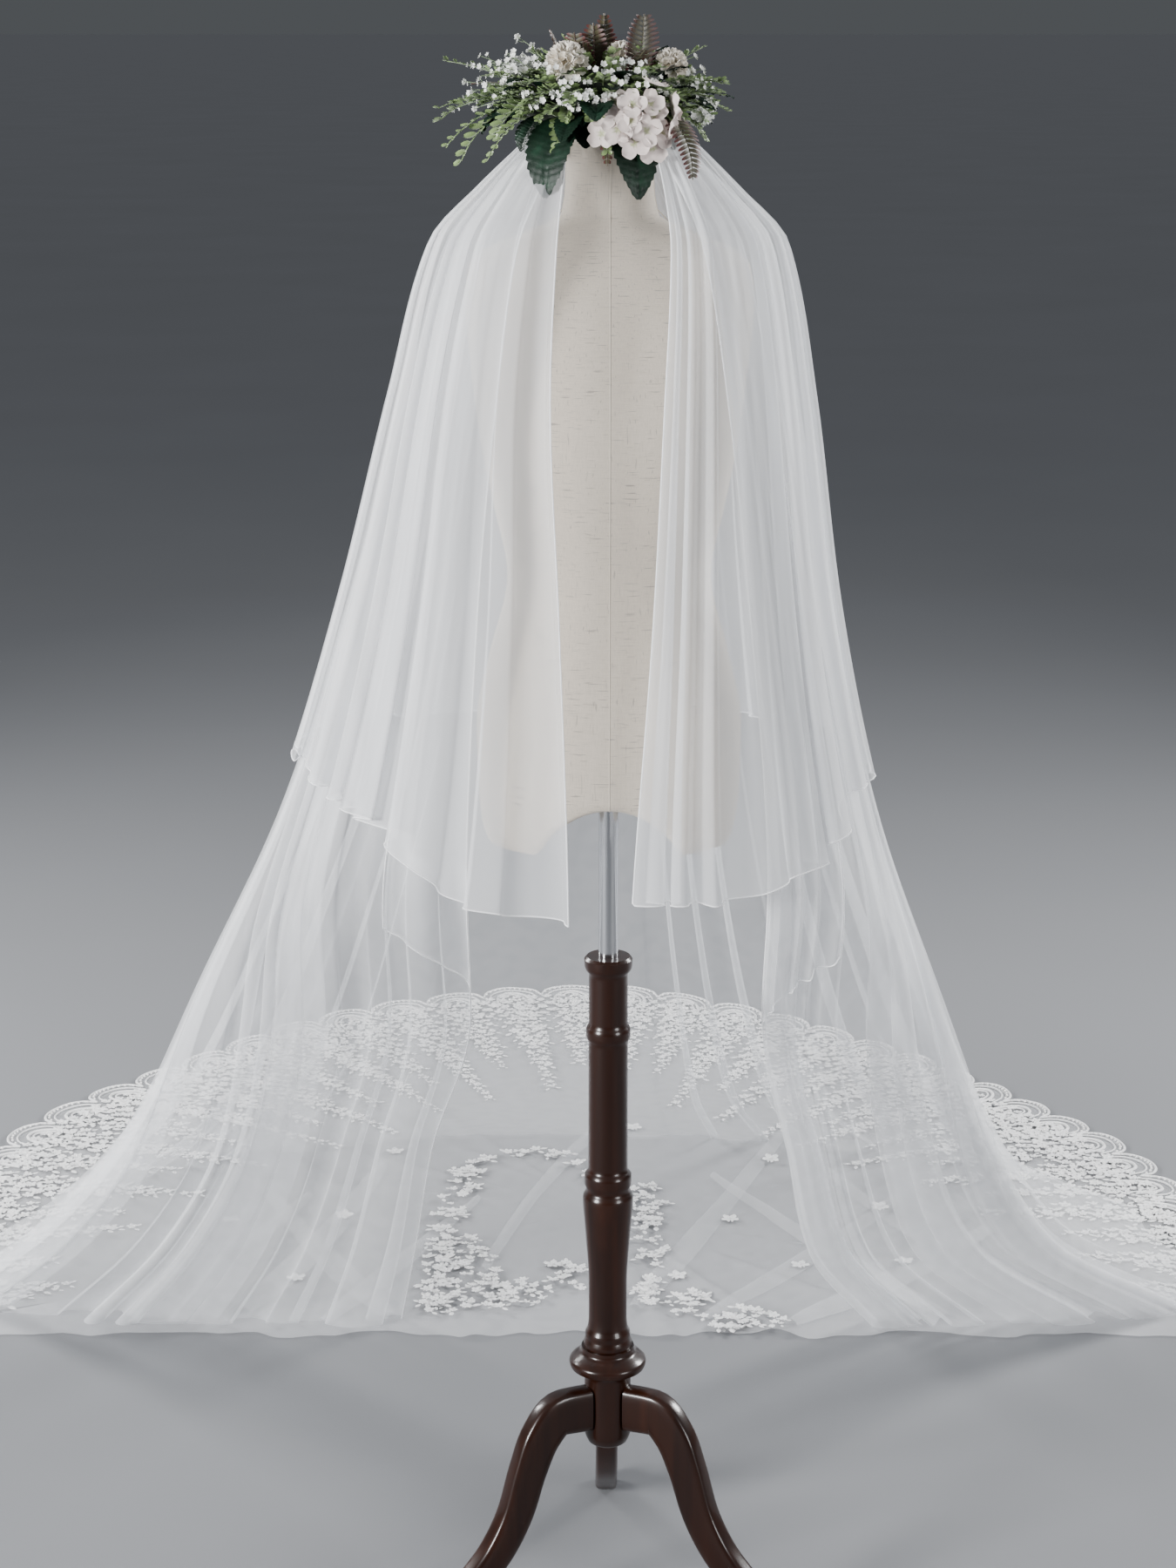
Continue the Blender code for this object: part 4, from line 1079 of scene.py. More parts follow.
def add_sheet(name, node, points, net, settings, edges):
    """A sheet of tulle through points, with its rolled edges as a piece of its own."""
    cloth = finish_piece(name, cloth_mesh(points), net, [node])
    bm = bmesh.new()
    for line in edges:
        tube(bm, [Vector(p) for p in line], settings.edge_radius)
    rolled = finish_piece(f"{name}_edge", bm, bpy.data.materials["rolled_edge"], ())


def long_tier(settings, net):
    shares = even_shares(LONG_FOLDS)
    drop = np.linspace(0.0, 1.0, LONG_ROWS) ** 1.15
    top, low = LONG_TIER[0].z, LONG_TIER[-1].z
    heights = np.repeat((top + (low - top) * drop)[:, None], len(shares), axis=1)
    points = tier_cloth(
        LONG_TIER, LONG_FRONT_SHARE, LONG_FOLDS, shares, heights, settings.overlap
    )
    edges = [points[:, 0], points[:, -1]]
    add_sheet("long_tier_tulle", "long_tier", points, net, settings, edges)


def short_tier(settings, net):
    shares = even_shares(SHORT_FOLDS)
    drop = np.linspace(0.0, 1.0, SHORT_ROWS) ** 1.1
    top = SHORT_TIER[0].z
    hem = read_table(SHORT_HEM, "share", "z", shares)
    heights = top + (hem[None, :] - top) * drop[:, None]
    points = tier_cloth(
        SHORT_TIER, SHORT_FRONT_SHARE, SHORT_FOLDS, shares, heights, settings.overlap
    )
    edges = [points[:, 0], points[-1], points[:, -1]]
    add_sheet("short_tier_tulle", "short_tier", points, net, settings, edges)


def turned_corner(corner, settings, net):
    shares = even_shares(LONG_FOLDS, corner.start, corner.end)
    across = np.abs(shares - shares[0]) / abs(corner.end - corner.start)
    hem = corner.tip_z + (corner.far_z - corner.tip_z) * across ** CORNER_HEM_CURVE
    top = LONG_TIER[0].z
    heights = top + (hem[None, :] - top) * np.linspace(0.0, 1.0, SHORT_ROWS)[:, None]
    points = tier_cloth(
        LONG_TIER, LONG_FRONT_SHARE, LONG_FOLDS, shares, heights, 0.4 * settings.overlap,
        clear=CORNER_OUT_LOW,
    )
    node = f"short_tier_corner_{corner.name}"
    edges = [points[:, 0], points[-1], points[:, -1]]
    add_sheet(f"corner_{corner.name}_tulle", node, points, net, settings, edges)


def floor_point(azimuth, reach, z):
    a = math.radians(azimuth)
    return Vector((reach * math.sin(a), TRAIN_CENTRE_Y + reach * math.cos(a), z))


def near_reach(azimuth):
    """How far the near hem is from the train's centre: a rippled line across the front."""
    a = math.radians(azimuth)
    straight = (TRAIN_CENTRE_Y - TRAIN_NEAR_Y) / max(-math.cos(a), 0.05)
    x = straight * math.sin(a)
    return straight + 0.012 * math.sin(23.0 * x) + 0.006 * math.sin(61.0 * x + 1.0)


def outer_reach(azimuth):
    return float(read_table(TRAIN, "azimuth", "reach", azimuth))


def border_start(azimuth):
    return outer_reach(azimuth) - float(read_table(TRAIN, "azimuth", "border", azimuth))


def plain_end(azimuth):
    """Where the plain train ends: at the border, or at the near hem across the front."""
    if abs(azimuth) <= BORDER_END:
        return border_start(azimuth)
    return min(near_reach(azimuth), outer_reach(math.copysign(BORDER_END, azimuth)))


def floor_relief(azimuth, reach):
    """Height of the train's soft folds, which run out from where the tent stands."""
    a = math.radians(azimuth)
    wave = math.sin(17 * a + 1.3 * math.sin(5 * a)) * 0.6 + math.sin(41 * a + 2.0 * reach) * 0.4
    lift = 0.010 * max(wave, 0.0) ** 1.5
    dimple = 0.0020 * math.sin(38.0 * reach * math.sin(a)) * math.sin(33.0 * reach * math.cos(a))
    return FLOOR_CLEAR + lift * min(reach / 0.5, 1.0) + abs(dimple)


class VEIL_OT_train(bpy.types.Operator):
    """Lays the train on the floor, with the bands where it is folded over itself"""

    bl_idname = "veil.train"
    bl_label = "Train"

    def execute(self, context):
        settings = context.scene.veil_cloth
        net = tulle("train_tulle", 0.9 * settings.long_cover)
        azimuths = np.linspace(-180.0, 180.0, 361)
        outward = np.linspace(0.02, 1.0, 42)
        points = np.empty((len(outward), len(azimuths), 3))
        for j, azimuth in enumerate(azimuths):
            end = plain_end(azimuth)
            for i, share in enumerate(outward):
                reach = end * share
                height = floor_relief(azimuth, reach)
                points[i, j] = floor_point(azimuth, reach, height)
        bm = cloth_mesh(points)
        bmesh.ops.remove_doubles(bm, verts=bm.verts, dist=0.0002)
        cloth = finish_piece("train_tulle", bm, net, ["train"])
        bands = bmesh.new()
        for number, band in enumerate(FLOOR_BANDS):
            floor_band(bands, band, 0.0045 + 0.0012 * (number % 4))
        faint = tulle("train_fold_tulle", 0.6 * settings.long_cover)
        folded = finish_piece("train_folds", bands, faint, ())
        return {"FINISHED"}


def floor_band(bm, band, height):
    """A doubled strip of the train: a long soft fold that lies on it."""
    start, end = Vector((band.x0, band.y0, 0.0)), Vector((band.x1, band.y1, 0.0))
    along = end - start
    side = Vector((-along.y, along.x, 0.0)).normalized()

    def place(u, v):
        bow = 0.02 * math.sin(math.pi * v) * math.sin(7.0 * band.x0 + 3.0)
        half = 0.5 * band.width * (0.8 + 0.2 * math.sin(5.0 * v + 9.0 * band.y0))
        half *= math.sin(math.pi * (0.04 + 0.92 * v)) ** 0.5
        at = start + along * v + side * (half * u + bow)
        crown = 0.007 * (1.0 - u * u) + 0.0015 * math.sin(19.0 * v)
        at.z = height + max(crown, 0.0)
        return at

    patch(bm, 8, 36, place)


class VEIL_OT_lace(bpy.types.Operator):
    """Makes the scalloped lace border, the inner band and the flowers sewn to the train"""

    bl_idname = "veil.lace"
    bl_label = "Lace"

    def execute(self, context):
        settings = context.scene.lace_work
        thread, beads = embroidery(), pearl()
        ground = border_ground()
        flowers, leaves = [], []
        picks = random.Random(11)
        for number in range(SCALLOPS):
            fill_scallop(number, settings.flower_radius, picks, flowers, leaves)
        cords = bmesh.new()
        pearls = []
        for number in range(SCALLOPS):
            scallop_cords(cords, number)
            scallop_pearls(pearls, number)
        for spread in (0.026, 0.018):
            line_of_flowers(INNER_LACE, spread, settings.flower_radius, picks, flowers, leaves)
        for heap in LACE_HEAPS:
            heap_of_lace(heap, settings.flower_radius, picks, flowers, leaves)
        for spot in APPLIQUES:
            flowers.append(flower_matrix(spot, 1.25 * settings.flower_radius, picks))
        sewn = joined_copies(lace_flower(), flowers)
        sewn_leaves = joined_copies(lace_leaf(), leaves)
        finish_sewn = [
            finish_piece("lace_flowers", sewn, thread, ()),
            finish_piece("lace_leaves", sewn_leaves, thread, ["lace_inner_band"]),
            finish_piece("lace_cords", cords, thread, ()),
        ]
        bead = bmesh.new()
        bmesh.ops.create_icosphere(bead, subdivisions=1, radius=settings.bead_radius)
        bead.verts.index_update()
        finish_sewn.append(
            finish_piece("lace_pearls", joined_copies(bead, pearls), beads, ())
        )
        return {"FINISHED"}


def scallop_reach(phase):
    """How far a scallop stands back from its tip: a round arch between two notches."""
    return SCALLOP_DEPTH * (math.sqrt(max(1.0 - (2.0 * phase - 1.0) ** 2, 0.0)) - 1.0)


def border_ground():
    """The net under the lace: a band round the train with a scalloped outer edge."""
    cover = bpy.context.scene.lace_work.ground_cover
    per_scallop = 16
    columns = SCALLOPS * per_scallop + 1
    rows = 22
    points = np.empty((rows, columns, 3))
    for j in range(columns):
        azimuth = -BORDER_END + SCALLOP_STEP * j / per_scallop
        start = border_start(azimuth)
        end = outer_reach(azimuth) + scallop_reach((j % per_scallop) / per_scallop)
        for i in range(rows):
            reach = start + (end - start) * i / (rows - 1)
            points[i, j] = floor_point(azimuth, reach, border_height(azimuth, reach))
    bm = cloth_mesh(points)
    return finish_piece("lace_ground", bm, tulle("lace_net", cover), ["lace_border"])


def border_height(azimuth, reach):
    """The border lies in the train's folds, which die away towards its edge."""
    rim = outer_reach(azimuth)
    settle = min(max((rim - reach) / 0.35, 0.0), 1.0)
    relief = floor_relief(azimuth, reach) - FLOOR_CLEAR
    return FLOOR_CLEAR + relief * (0.25 + 0.75 * settle)


def on_border(number, across, depth):
    """A point of a scallop: across is -1 to 1 of its half width, depth is in from its tip."""
    azimuth = -BORDER_END + SCALLOP_STEP * (number + 0.5 + 0.5 * across)
    reach = outer_reach(azimuth) - depth
    return floor_point(azimuth, reach, border_height(azimuth, reach))


def scallop_cords(bm, number):
    """The corded edge of one scallop, and the two arches inside it."""
    for inset, squeeze, radius in ((0.000, 1.00, 0.0026), (0.016, 0.84, 0.0018),
                                   (0.034, 0.62, 0.0032), (0.044, 0.48, 0.0020)):
        line = []
        for k in range(15):
            across = -1.0 + 2.0 * k / 14
            arch = -scallop_reach(0.5 + 0.5 * across) * (0.9 if inset else 1.0)
            deeper = 1.0 + 0.9 * (1.0 - squeeze)
            p = on_border(number, across * squeeze, inset + arch * deeper)
            p.z += 0.0022
            line.append(p)
        tube(bm, line, radius, 4)


def scallop_pearls(pearls, number):
    for k in range(11):
        across = -0.9 + 1.8 * k / 10
        arch = -scallop_reach(0.5 + 0.5 * across) * 0.95
        p = on_border(number, across * 0.94, 0.008 + arch)
        p.z += 0.0042
        pearls.append(Matrix.Translation(p))
    for across, depth in ((0.0, 0.075), (-0.18, 0.088), (0.18, 0.088)):
        p = on_border(number, across, depth)
        p.z += 0.0055
        pearls.append(Matrix.Translation(p) @ Matrix.Scale(1.3, 4))


def flower_matrix(spot, radius, picks, height=None):
    """Places one unit flower on the train, turned and tilted a little."""
    reach = math.hypot(spot[0], spot[1] - TRAIN_CENTRE_Y)
    azimuth = math.degrees(math.atan2(spot[0], spot[1] - TRAIN_CENTRE_Y))
    z = height if height is not None else floor_relief(azimuth, reach)
    turn = Matrix.Rotation(picks.uniform(0.0, 2 * math.pi), 4, "Z")
    tilt = Matrix.Rotation(picks.uniform(-0.12, 0.12), 4, "X")
    at = Matrix.Translation(Vector((spot[0], spot[1], z + 0.0016)))
    return at @ tilt @ turn @ Matrix.Scale(radius, 4)


def fill_scallop(number, radius, picks, flowers, leaves):
    """A fan of flowers and leaves that narrows from the arch to a point at the border's start."""
    azimuth = -BORDER_END + SCALLOP_STEP * (number + 0.5)
    depth_end = outer_reach(azimuth) - border_start(azimuth)
    long_one = number % 2 == 0
    end = depth_end * (0.98 if long_one else 0.78)
    depth = 0.062
    row = 0
    while depth < end:
        share = (depth - 0.06) / max(end - 0.06, 0.1)
        spread = 0.90 * (1.0 - share) ** 0.8 + 0.08
        count = max(round(4.6 * spread), 1)
        for k in range(count):
            across = spread * (2.0 * (k + 0.5) / count - 1.0 + (0.28 if row % 2 else -0.1))
            size = radius * picks.uniform(0.62, 1.10) * (1.0 - 0.30 * share)
            p = on_border(number, max(min(across, 0.92), -0.92), depth + picks.uniform(-0.006, 0.006))
            flowers.append(flower_matrix(p, size, picks, p.z + 0.0006))
            for side in (-1.0, 1.0):
                turn = picks.uniform(0.3, 1.1) * side - math.radians(azimuth) + math.pi
                leaf = Matrix.Translation(p + Vector((0.0, 0.0, 0.0008)))
                leaf = leaf @ Matrix.Rotation(turn, 4, "Z")
                leaf = leaf @ Matrix.Translation((0.0, 0.85 * size, 0.0))
                leaves.append(leaf @ Matrix.Scale(1.5 * size, 4))
        depth += radius * (1.5 + 0.35 * share)
        row += 1


def line_of_flowers(line, spread, radius, picks, flowers, leaves):
    """Flowers and leaves along a line of spots, a little to either side of it."""
    for start, end in zip(line, line[1:]):
        gap = math.hypot(end.x - start.x, end.y - start.y)
        count = max(round(gap / (radius * 2.2)), 1)
        for k in range(count):
            share = (k + picks.random()) / count
            x = start.x + (end.x - start.x) * share + picks.uniform(-spread, spread)
            y = start.y + (end.y - start.y) * share + picks.uniform(-spread, spread)
            flower_with_leaves(x, y, radius * picks.uniform(0.50, 0.90), picks, flowers, leaves)


def heap_of_lace(heap, radius, picks, flowers, leaves):
    """Flowers and leaves that lie close together over an oval, loosest at its rim."""
    for _ in range(heap.flowers):
        turn, out = picks.uniform(0.0, 2 * math.pi), picks.random() ** 0.6
        x = heap.x + heap.half_x * out * math.cos(turn)
        y = heap.y + heap.half_y * out * math.sin(turn)
        size = radius * picks.uniform(0.45, 0.90) * (1.0 - 0.2 * out)
        flower_with_leaves(x, y, size, picks, flowers, leaves)


def flower_with_leaves(x, y, size, picks, flowers, leaves):
    lift = 0.002 + picks.uniform(0.0, 0.005)
    reach = math.hypot(x, y - TRAIN_CENTRE_Y)
    z = floor_relief(math.degrees(math.atan2(x, y - TRAIN_CENTRE_Y)), reach) + lift
    flowers.append(flower_matrix((x, y), size, picks, z))
    for _ in range(2):
        at = Matrix.Translation((x, y, z))
        turn = Matrix.Rotation(picks.uniform(0.0, 2 * math.pi), 4, "Z")
        out = Matrix.Translation((0.0, 0.7 * size, 0.0))
        leaves.append(at @ turn @ out @ Matrix.Scale(1.5 * size, 4))


def lace_flower():
    """A unit flower of five notched petals, raised like padded satin stitch."""
    bm = bmesh.new()
    for k in range(5):
        turn = 2 * math.pi * k / 5

        def place(u, v):
            half = 0.36 * math.sin(math.pi * (0.10 + 0.78 * v)) ** 0.9
            length = 0.14 + 0.86 * v - 0.16 * v * (1.0 - abs(u))
            x, y = half * u, length
            z = 0.06 + 0.16 * v * (1.0 - u * u) + 0.05 * v
            c, s = math.cos(turn), math.sin(turn)
            return Vector((x * c - y * s, x * s + y * c, z))

        patch(bm, 2, 3, place)
    bmesh.ops.create_icosphere(
        bm, subdivisions=1, radius=0.17, matrix=Matrix.Translation((0.0, 0.0, 0.12))
    )
    bm.verts.index_update()
    return bm


def lace_leaf():
    """A unit leaf along +Y with a raised rib."""
    bm = bmesh.new()

    def place(u, v):
        half = 0.26 * math.sin(math.pi * min(max(v, 0.02), 0.98)) ** 0.8
        return Vector((half * u, v, 0.03 + 0.10 * (1.0 - abs(u)) * math.sin(math.pi * v)))

    patch(bm, 2, 4, place)
    bm.verts.index_update()
    return bm


class VEIL_OT_form(bpy.types.Operator):
    """Makes the linen-covered form and the gathered heading on its neck"""

    bl_idname = "veil.form"
    bl_label = "Dress form"

    def execute(self, context):
        cover = linen()
        heights = np.linspace(TORSO[0].z, TORSO[-1].z, TORSO_ROWS)
        columns = {name: read_table(TORSO, "z", name, heights) for name in Torso._fields}
        bm = bmesh.new()
        rings = []
        for k, z in enumerate(heights):
            nearness = max(0.0, 1.0 - (z - FORM_BOTTOM) / ARCH_FADE)
            row = Torso(*[columns[name][k] for name in Torso._fields])
            rings.append(torso_ring(bm, row, nearness))
        skirt = [rings[0][0].co.copy()]
        join_rings(bm, rings)
        close_bottom(bm, rings[0])
        bmesh.ops.contextual_create(bm, geom=rings[-1])
        bmesh.ops.recalc_face_normals(bm, faces=bm.faces)
        finish_piece("linen_form", bm, cover, ["form_torso"], 55.0)
        form_seams(columns, heights)
        gathered_heading(context.scene.veil_cloth)
        return {"FINISHED"}


def arch_lift(x):
    inside = max(0.0, 1.0 - (x / ARCH_HALF_WIDTH) ** 2)
    return (ARCH_TOP - FORM_BOTTOM) * inside ** 0.8


def torso_ring(bm, row, nearness):
    ring = []
    for i in range(TORSO_SIDES):
        turn = 2 * math.pi * i / TORSO_SIDES
        x = row.half_width * math.cos(turn)
        depth = row.back if math.sin(turn) > 0 else row.front
        z = row.z + arch_lift(x) * nearness
        ring.append(bm.verts.new((x, depth * math.sin(turn), z)))
    return ring


def join_rings(bm, rings):
    for low, high in zip(rings, rings[1:]):
        for i in range(len(low)):
            j = (i + 1) % len(low)
            bm.faces.new((low[i], low[j], high[j], high[i]))


def close_bottom(bm, ring):
    """Closes the form's arched underside, from each front point to the one behind it."""
    half = len(ring) // 2
    for i in range(half):
        j = (len(ring) - i) % len(ring)
        k = (len(ring) - i - 1) % len(ring)
        corners = []
        for v in (ring[i], ring[i + 1], ring[k], ring[j]):
            if v not in corners:
                corners.append(v)
        if len(corners) > 2:
            bm.faces.new(corners)


def form_seams(columns, heights):
    """Fine seams down the middle of the front and back and down both sides."""
    bm = bmesh.new()
    for turn in (-math.pi / 2, math.pi / 2, 0.0, math.pi):
        line = []
        for k in range(0, len(heights), 2):
            z = heights[k]
            nearness = max(0.0, 1.0 - (z - FORM_BOTTOM) / ARCH_FADE)
            x = columns["half_width"][k] * math.cos(turn)
            depth = columns["back"][k] if math.sin(turn) > 0 else columns["front"][k]
            line.append(Vector((x, depth * math.sin(turn), z + arch_lift(x) * nearness)))
        tube(bm, line, 0.0007, 6)
    finish_piece("form_seams", bm, bpy.data.materials["linen"], ())


def gathered_heading(settings):
    """The band that both tiers are gathered to: small pleats round an oval, open in front."""
    pleats, rows = 44, 8
    columns = pleats * 6 + 1
    start, end = math.radians(HEADING_START), math.radians(HEADING_END)
    points = np.empty((rows, columns, 3))
    for j in range(columns):
        turn = start + (end - start) * j / (columns - 1)
        pleat = 0.0016 * math.sin(2 * math.pi * pleats * j / (columns - 1))
        for i in range(rows):
            z = 1.8690 + 0.026 * i / (rows - 1)
            out = pleat + (0.010 if i > 4 else 0.0)
            points[i, j] = (
                (0.0775 + out) * math.cos(turn), (0.0595 + out) * math.sin(turn), z,
            )
    net = tulle("heading_tulle", 0.85)
    band = finish_piece("gathered_heading", cloth_mesh(points), net, ["veil_heading"])


class VEIL_OT_stand(bpy.types.Operator):
    """Makes the chrome pole, the turned column, its hub and the three curved legs"""

    bl_idname = "veil.stand"
    bl_label = "Stand"

    def execute(self, context):
        sides = context.scene.form_and_stand.turned_sides
        wood, metal = stained_wood(), chrome()
        pole = [Turn(POLE_LOW.z, POLE_RADIUS), Turn(POLE_HIGH.z, POLE_RADIUS)]
        turned("chrome_pole", pole, sides, metal, "pole", 2)
        turned("turned_column", COLUMN, sides, wood, "column", 150)
        turned("turned_hub", HUB, sides, wood, "hub", 60)
        for side, azimuth in LEG_AZIMUTHS.items():
            curved_leg(side, azimuth, wood)
        return {"FINISHED"}


def turned(name, profile, sides, material, node, steps):
    """A solid turned round the axis from a profile read smoothly at so many steps."""
    heights = np.linspace(profile[0].z, profile[-1].z, steps)
    radii = read_table(profile, "z", "radius", heights)
    bm = bmesh.new()
    outline = [(0.0, heights[0]), *zip(radii, heights), (0.0, heights[-1])]
    verts = [bm.verts.new((radius, 0.0, z)) for radius, z in outline]
    edges = [bm.edges.new(pair) for pair in zip(verts, verts[1:])]
    bmesh.ops.spin(
        bm,
        geom=verts + edges,
        cent=(0.0, 0.0, 0.0),
        axis=(0.0, 0.0, 1.0),
        angle=2 * math.pi,
        steps=sides,
        use_merge=True,
    )
    bmesh.ops.remove_doubles(bm, verts=bm.verts, dist=0.00001)
    bmesh.ops.recalc_face_normals(bm, faces=bm.faces)
    return finish_piece(name, bm, material, [node], 40.0)


def curved_leg(side, azimuth, wood):
    """A leg sawn flat on both sides, with softly rounded edges, ending in a flat pad."""
    steps, around = 64, 24
    at = np.linspace(0.0, len(LEG) - 1.0, steps)
    table = range(len(LEG))
    reach = monotone(table, [row.reach for row in LEG], at)
    height = monotone(table, [row.z for row in LEG], at)
    half = monotone(table, [row.half for row in LEG], at)
    bm = bmesh.new()
    rings = []
    for k in range(steps):
        before, after = max(k - 1, 0), min(k + 1, steps - 1)
        along = Vector((reach[after] - reach[before], height[after] - height[before])).normalized()
        if k < 2 or at[k] > len(LEG) - 2.5:
            along = Vector((1.0, 0.0))
        ring = []
        for i in range(around):
            turn = 2 * math.pi * (i + 0.5) / around
            c, s = math.cos(turn), math.sin(turn)
            width = LEG_HALF_WIDTH * math.copysign(abs(c) ** 0.45, c)
            rise = half[k] * math.copysign(abs(s) ** 0.45, s)
            x = reach[k] - along.y * rise
            z = height[k] + along.x * rise
            ring.append(bm.verts.new((x, width, max(z, 0.0))))
        rings.append(ring)
    join_rings(bm, rings)
    for ring in (rings[0], rings[-1]):
        bmesh.ops.contextual_create(bm, geom=ring)
    bmesh.ops.recalc_face_normals(bm, faces=bm.faces)
    turn = Matrix.Rotation(math.radians(azimuth), 4, "Z")
    bmesh.ops.transform(bm, matrix=turn, verts=bm.verts)
    finish_piece(f"curved_leg_{side}", bm, wood, [f"leg_{side}"], 50.0)


def base_point(azimuth, lift, out=0.0):
    """A point on the headpiece's base, moved out from it, and the direction straight out."""
    a, e = math.radians(azimuth), math.radians(lift)
    unit = Vector((math.cos(e) * math.cos(a), math.cos(e) * math.sin(a), math.sin(e)))
    normal = Vector([u / half for half, u in zip(BASE_HALF, unit)]).normalized()
    at = BASE_CENTRE + Vector([half * u for half, u in zip(BASE_HALF, unit)])
    return at + normal * out, normal


def rib(frond, steps, start=None):
    """Frames along a stem that bends down: X to its side, Y forward and Z up from it."""
    root = start or base_point(frond.azimuth, frond.lift, -0.004)[0]
    a = math.radians(frond.azimuth)
    level = Vector((math.cos(a), math.sin(a), 0.0))
    side = Vector((math.sin(a), -math.cos(a), 0.0))
    at = root.copy()
    frames = []
    for i in range(steps + 1):
        pitch = math.radians(frond.pitch - frond.droop * i / steps)
        forward = level * math.cos(pitch) + UP * math.sin(pitch)
        up = side.cross(forward)
        frames.append((at.copy(), side, forward, up))
        at += forward * (frond.length / steps)
    return frames


def serrated_leaf(bm, frond, steps=70):
    """A broad leaf: toothed edge, raised ribs between its veins, sides folded up a little."""
    frames = rib(frond, steps)

    def place(u, v):
        at, side, forward, up = frames[round(v * steps)]
        body = math.sin(math.pi * (0.03 + 0.955 * v)) ** 0.70 * (1.10 - 0.36 * v)
        tooth = 1.0 + 0.13 * ((v * 13.0 + 0.5) % 1.0 - 0.5) * (1.0 if abs(u) > 0.9 else 0.0)
        half = 0.5 * frond.width * body * tooth
        vein = abs(math.sin(math.pi * (7.0 * v - 2.6 * abs(u)))) ** 0.6
        lift = 0.16 * half * abs(u) + 0.0020 * vein * (1.0 - 0.4 * abs(u)) - 0.0012 * (abs(u) < 0.1)
        return at + side * (half * u) + up * lift

    patch(bm, 12, steps, place)


def fern_frond(bm, frond):
    """A stem with pairs of narrow leaflets that shorten to its tip."""
    steps = max(round(frond.length / 0.0056), 7)
    frames = rib(frond, steps)
    tube(bm, [f[0] for f in frames], 0.0009, 4)
    for i in range(1, steps):
        along = i / steps
        reach = 0.58 * frond.width * math.sin(math.pi * (0.20 + 0.76 * along)) ** 0.7
        at, side, forward, up = frames[i]
        for way in (-1.0, 1.0):
            leaflet = (side * way * 0.94 + forward * 0.34).normalized()
            width = 0.45 * frond.length / steps

            def place(u, v):
                half = width * math.sin(math.pi * (0.20 + 0.72 * v)) ** 0.6
                fold = up * (0.10 * reach * math.sin(math.pi * v) + 0.0004 * abs(u))
                return at + leaflet * (reach * v) + forward * (half * u) + fold

            patch(bm, 2, 4, place)


def leafy_sprig(bm, frond, picks):
    """A thin stem with pairs of small oval leaves."""
    steps = 9
    frames = rib(frond, steps)
    tube(bm, [f[0] for f in frames], 0.0006, 4)
    for i in range(2, steps + 1):
        at, side, forward, up = frames[i]
        for way in (-1.0, 1.0):
            size = 0.5 * frond.width * picks.uniform(0.65, 1.0) * (1.05 - 0.5 * i / steps)
            out = (side * way * 0.8 + forward * 0.55 + up * picks.uniform(-0.2, 0.5)).normalized()
            flat = out.cross(up).normalized()
            rise = flat.cross(out)

            def place(u, v):
                half = 0.36 * size * math.sin(math.pi * (0.06 + 0.88 * v)) ** 0.6
                cup = rise * (0.10 * size * u * u + 0.12 * size * v * v)
                return at + out * (size * v) + flat * (half * u) + cup

            patch(bm, 4, 5, place)


def petal(bm, at, out, side, length, width, cup, wave):
    """One rounded petal from at along out, cupped along its length and waved at its rim."""
    normal = side.cross(out)

    def place(u, v):
        half = 0.5 * width * math.sin(math.pi * (0.08 + 0.74 * v)) ** 0.7
        rise = cup * length * (v * v - 0.25 * v) + wave * length * v * math.sin(5.0 * u)
        rise += 0.12 * length * u * u * v
        return at + out * (length * v * (1.0 - 0.06 * u * u)) + side * (half * u) + normal * rise

    patch(bm, 6, 6, place)


def frame_about(normal, turn):
    """Two directions square to normal, turned about it."""
    first = normal.orthogonal().normalized()
    second = normal.cross(first)
    c, s = math.cos(turn), math.sin(turn)
    return first * c + second * s, second * c - first * s


def floret(bm, at, normal, radius, petals, cup, picks):
    """An open flower of a few petals that face along normal."""
    start = picks.uniform(0.0, 2 * math.pi)
    for k in range(petals):
        out, side = frame_about(normal, start + 2 * math.pi * k / petals + picks.uniform(-0.1, 0.1))
        width = radius * 2.5 / petals * picks.uniform(1.45, 1.75)
        petal(bm, at, out, -side, radius, width, cup, picks.uniform(-0.05, 0.07))


def on_head(head, count, picks):
    """Even places over a flower head, those that face away from the base's middle."""
    centre, outward = base_point(head.azimuth, head.lift, 0.8 * head.radius)
    places = []
    for k in range(count):
        tall = 1.0 - 2.0 * (k + 0.5) / count
        around = k * math.pi * (3.0 - math.sqrt(5.0))
        flat = math.sqrt(1.0 - tall * tall)
        normal = Vector((flat * math.cos(around), flat * math.sin(around), tall))
        if normal.dot(outward) > -0.25:
            places.append((centre + normal * head.radius * 0.86, normal))
    return places


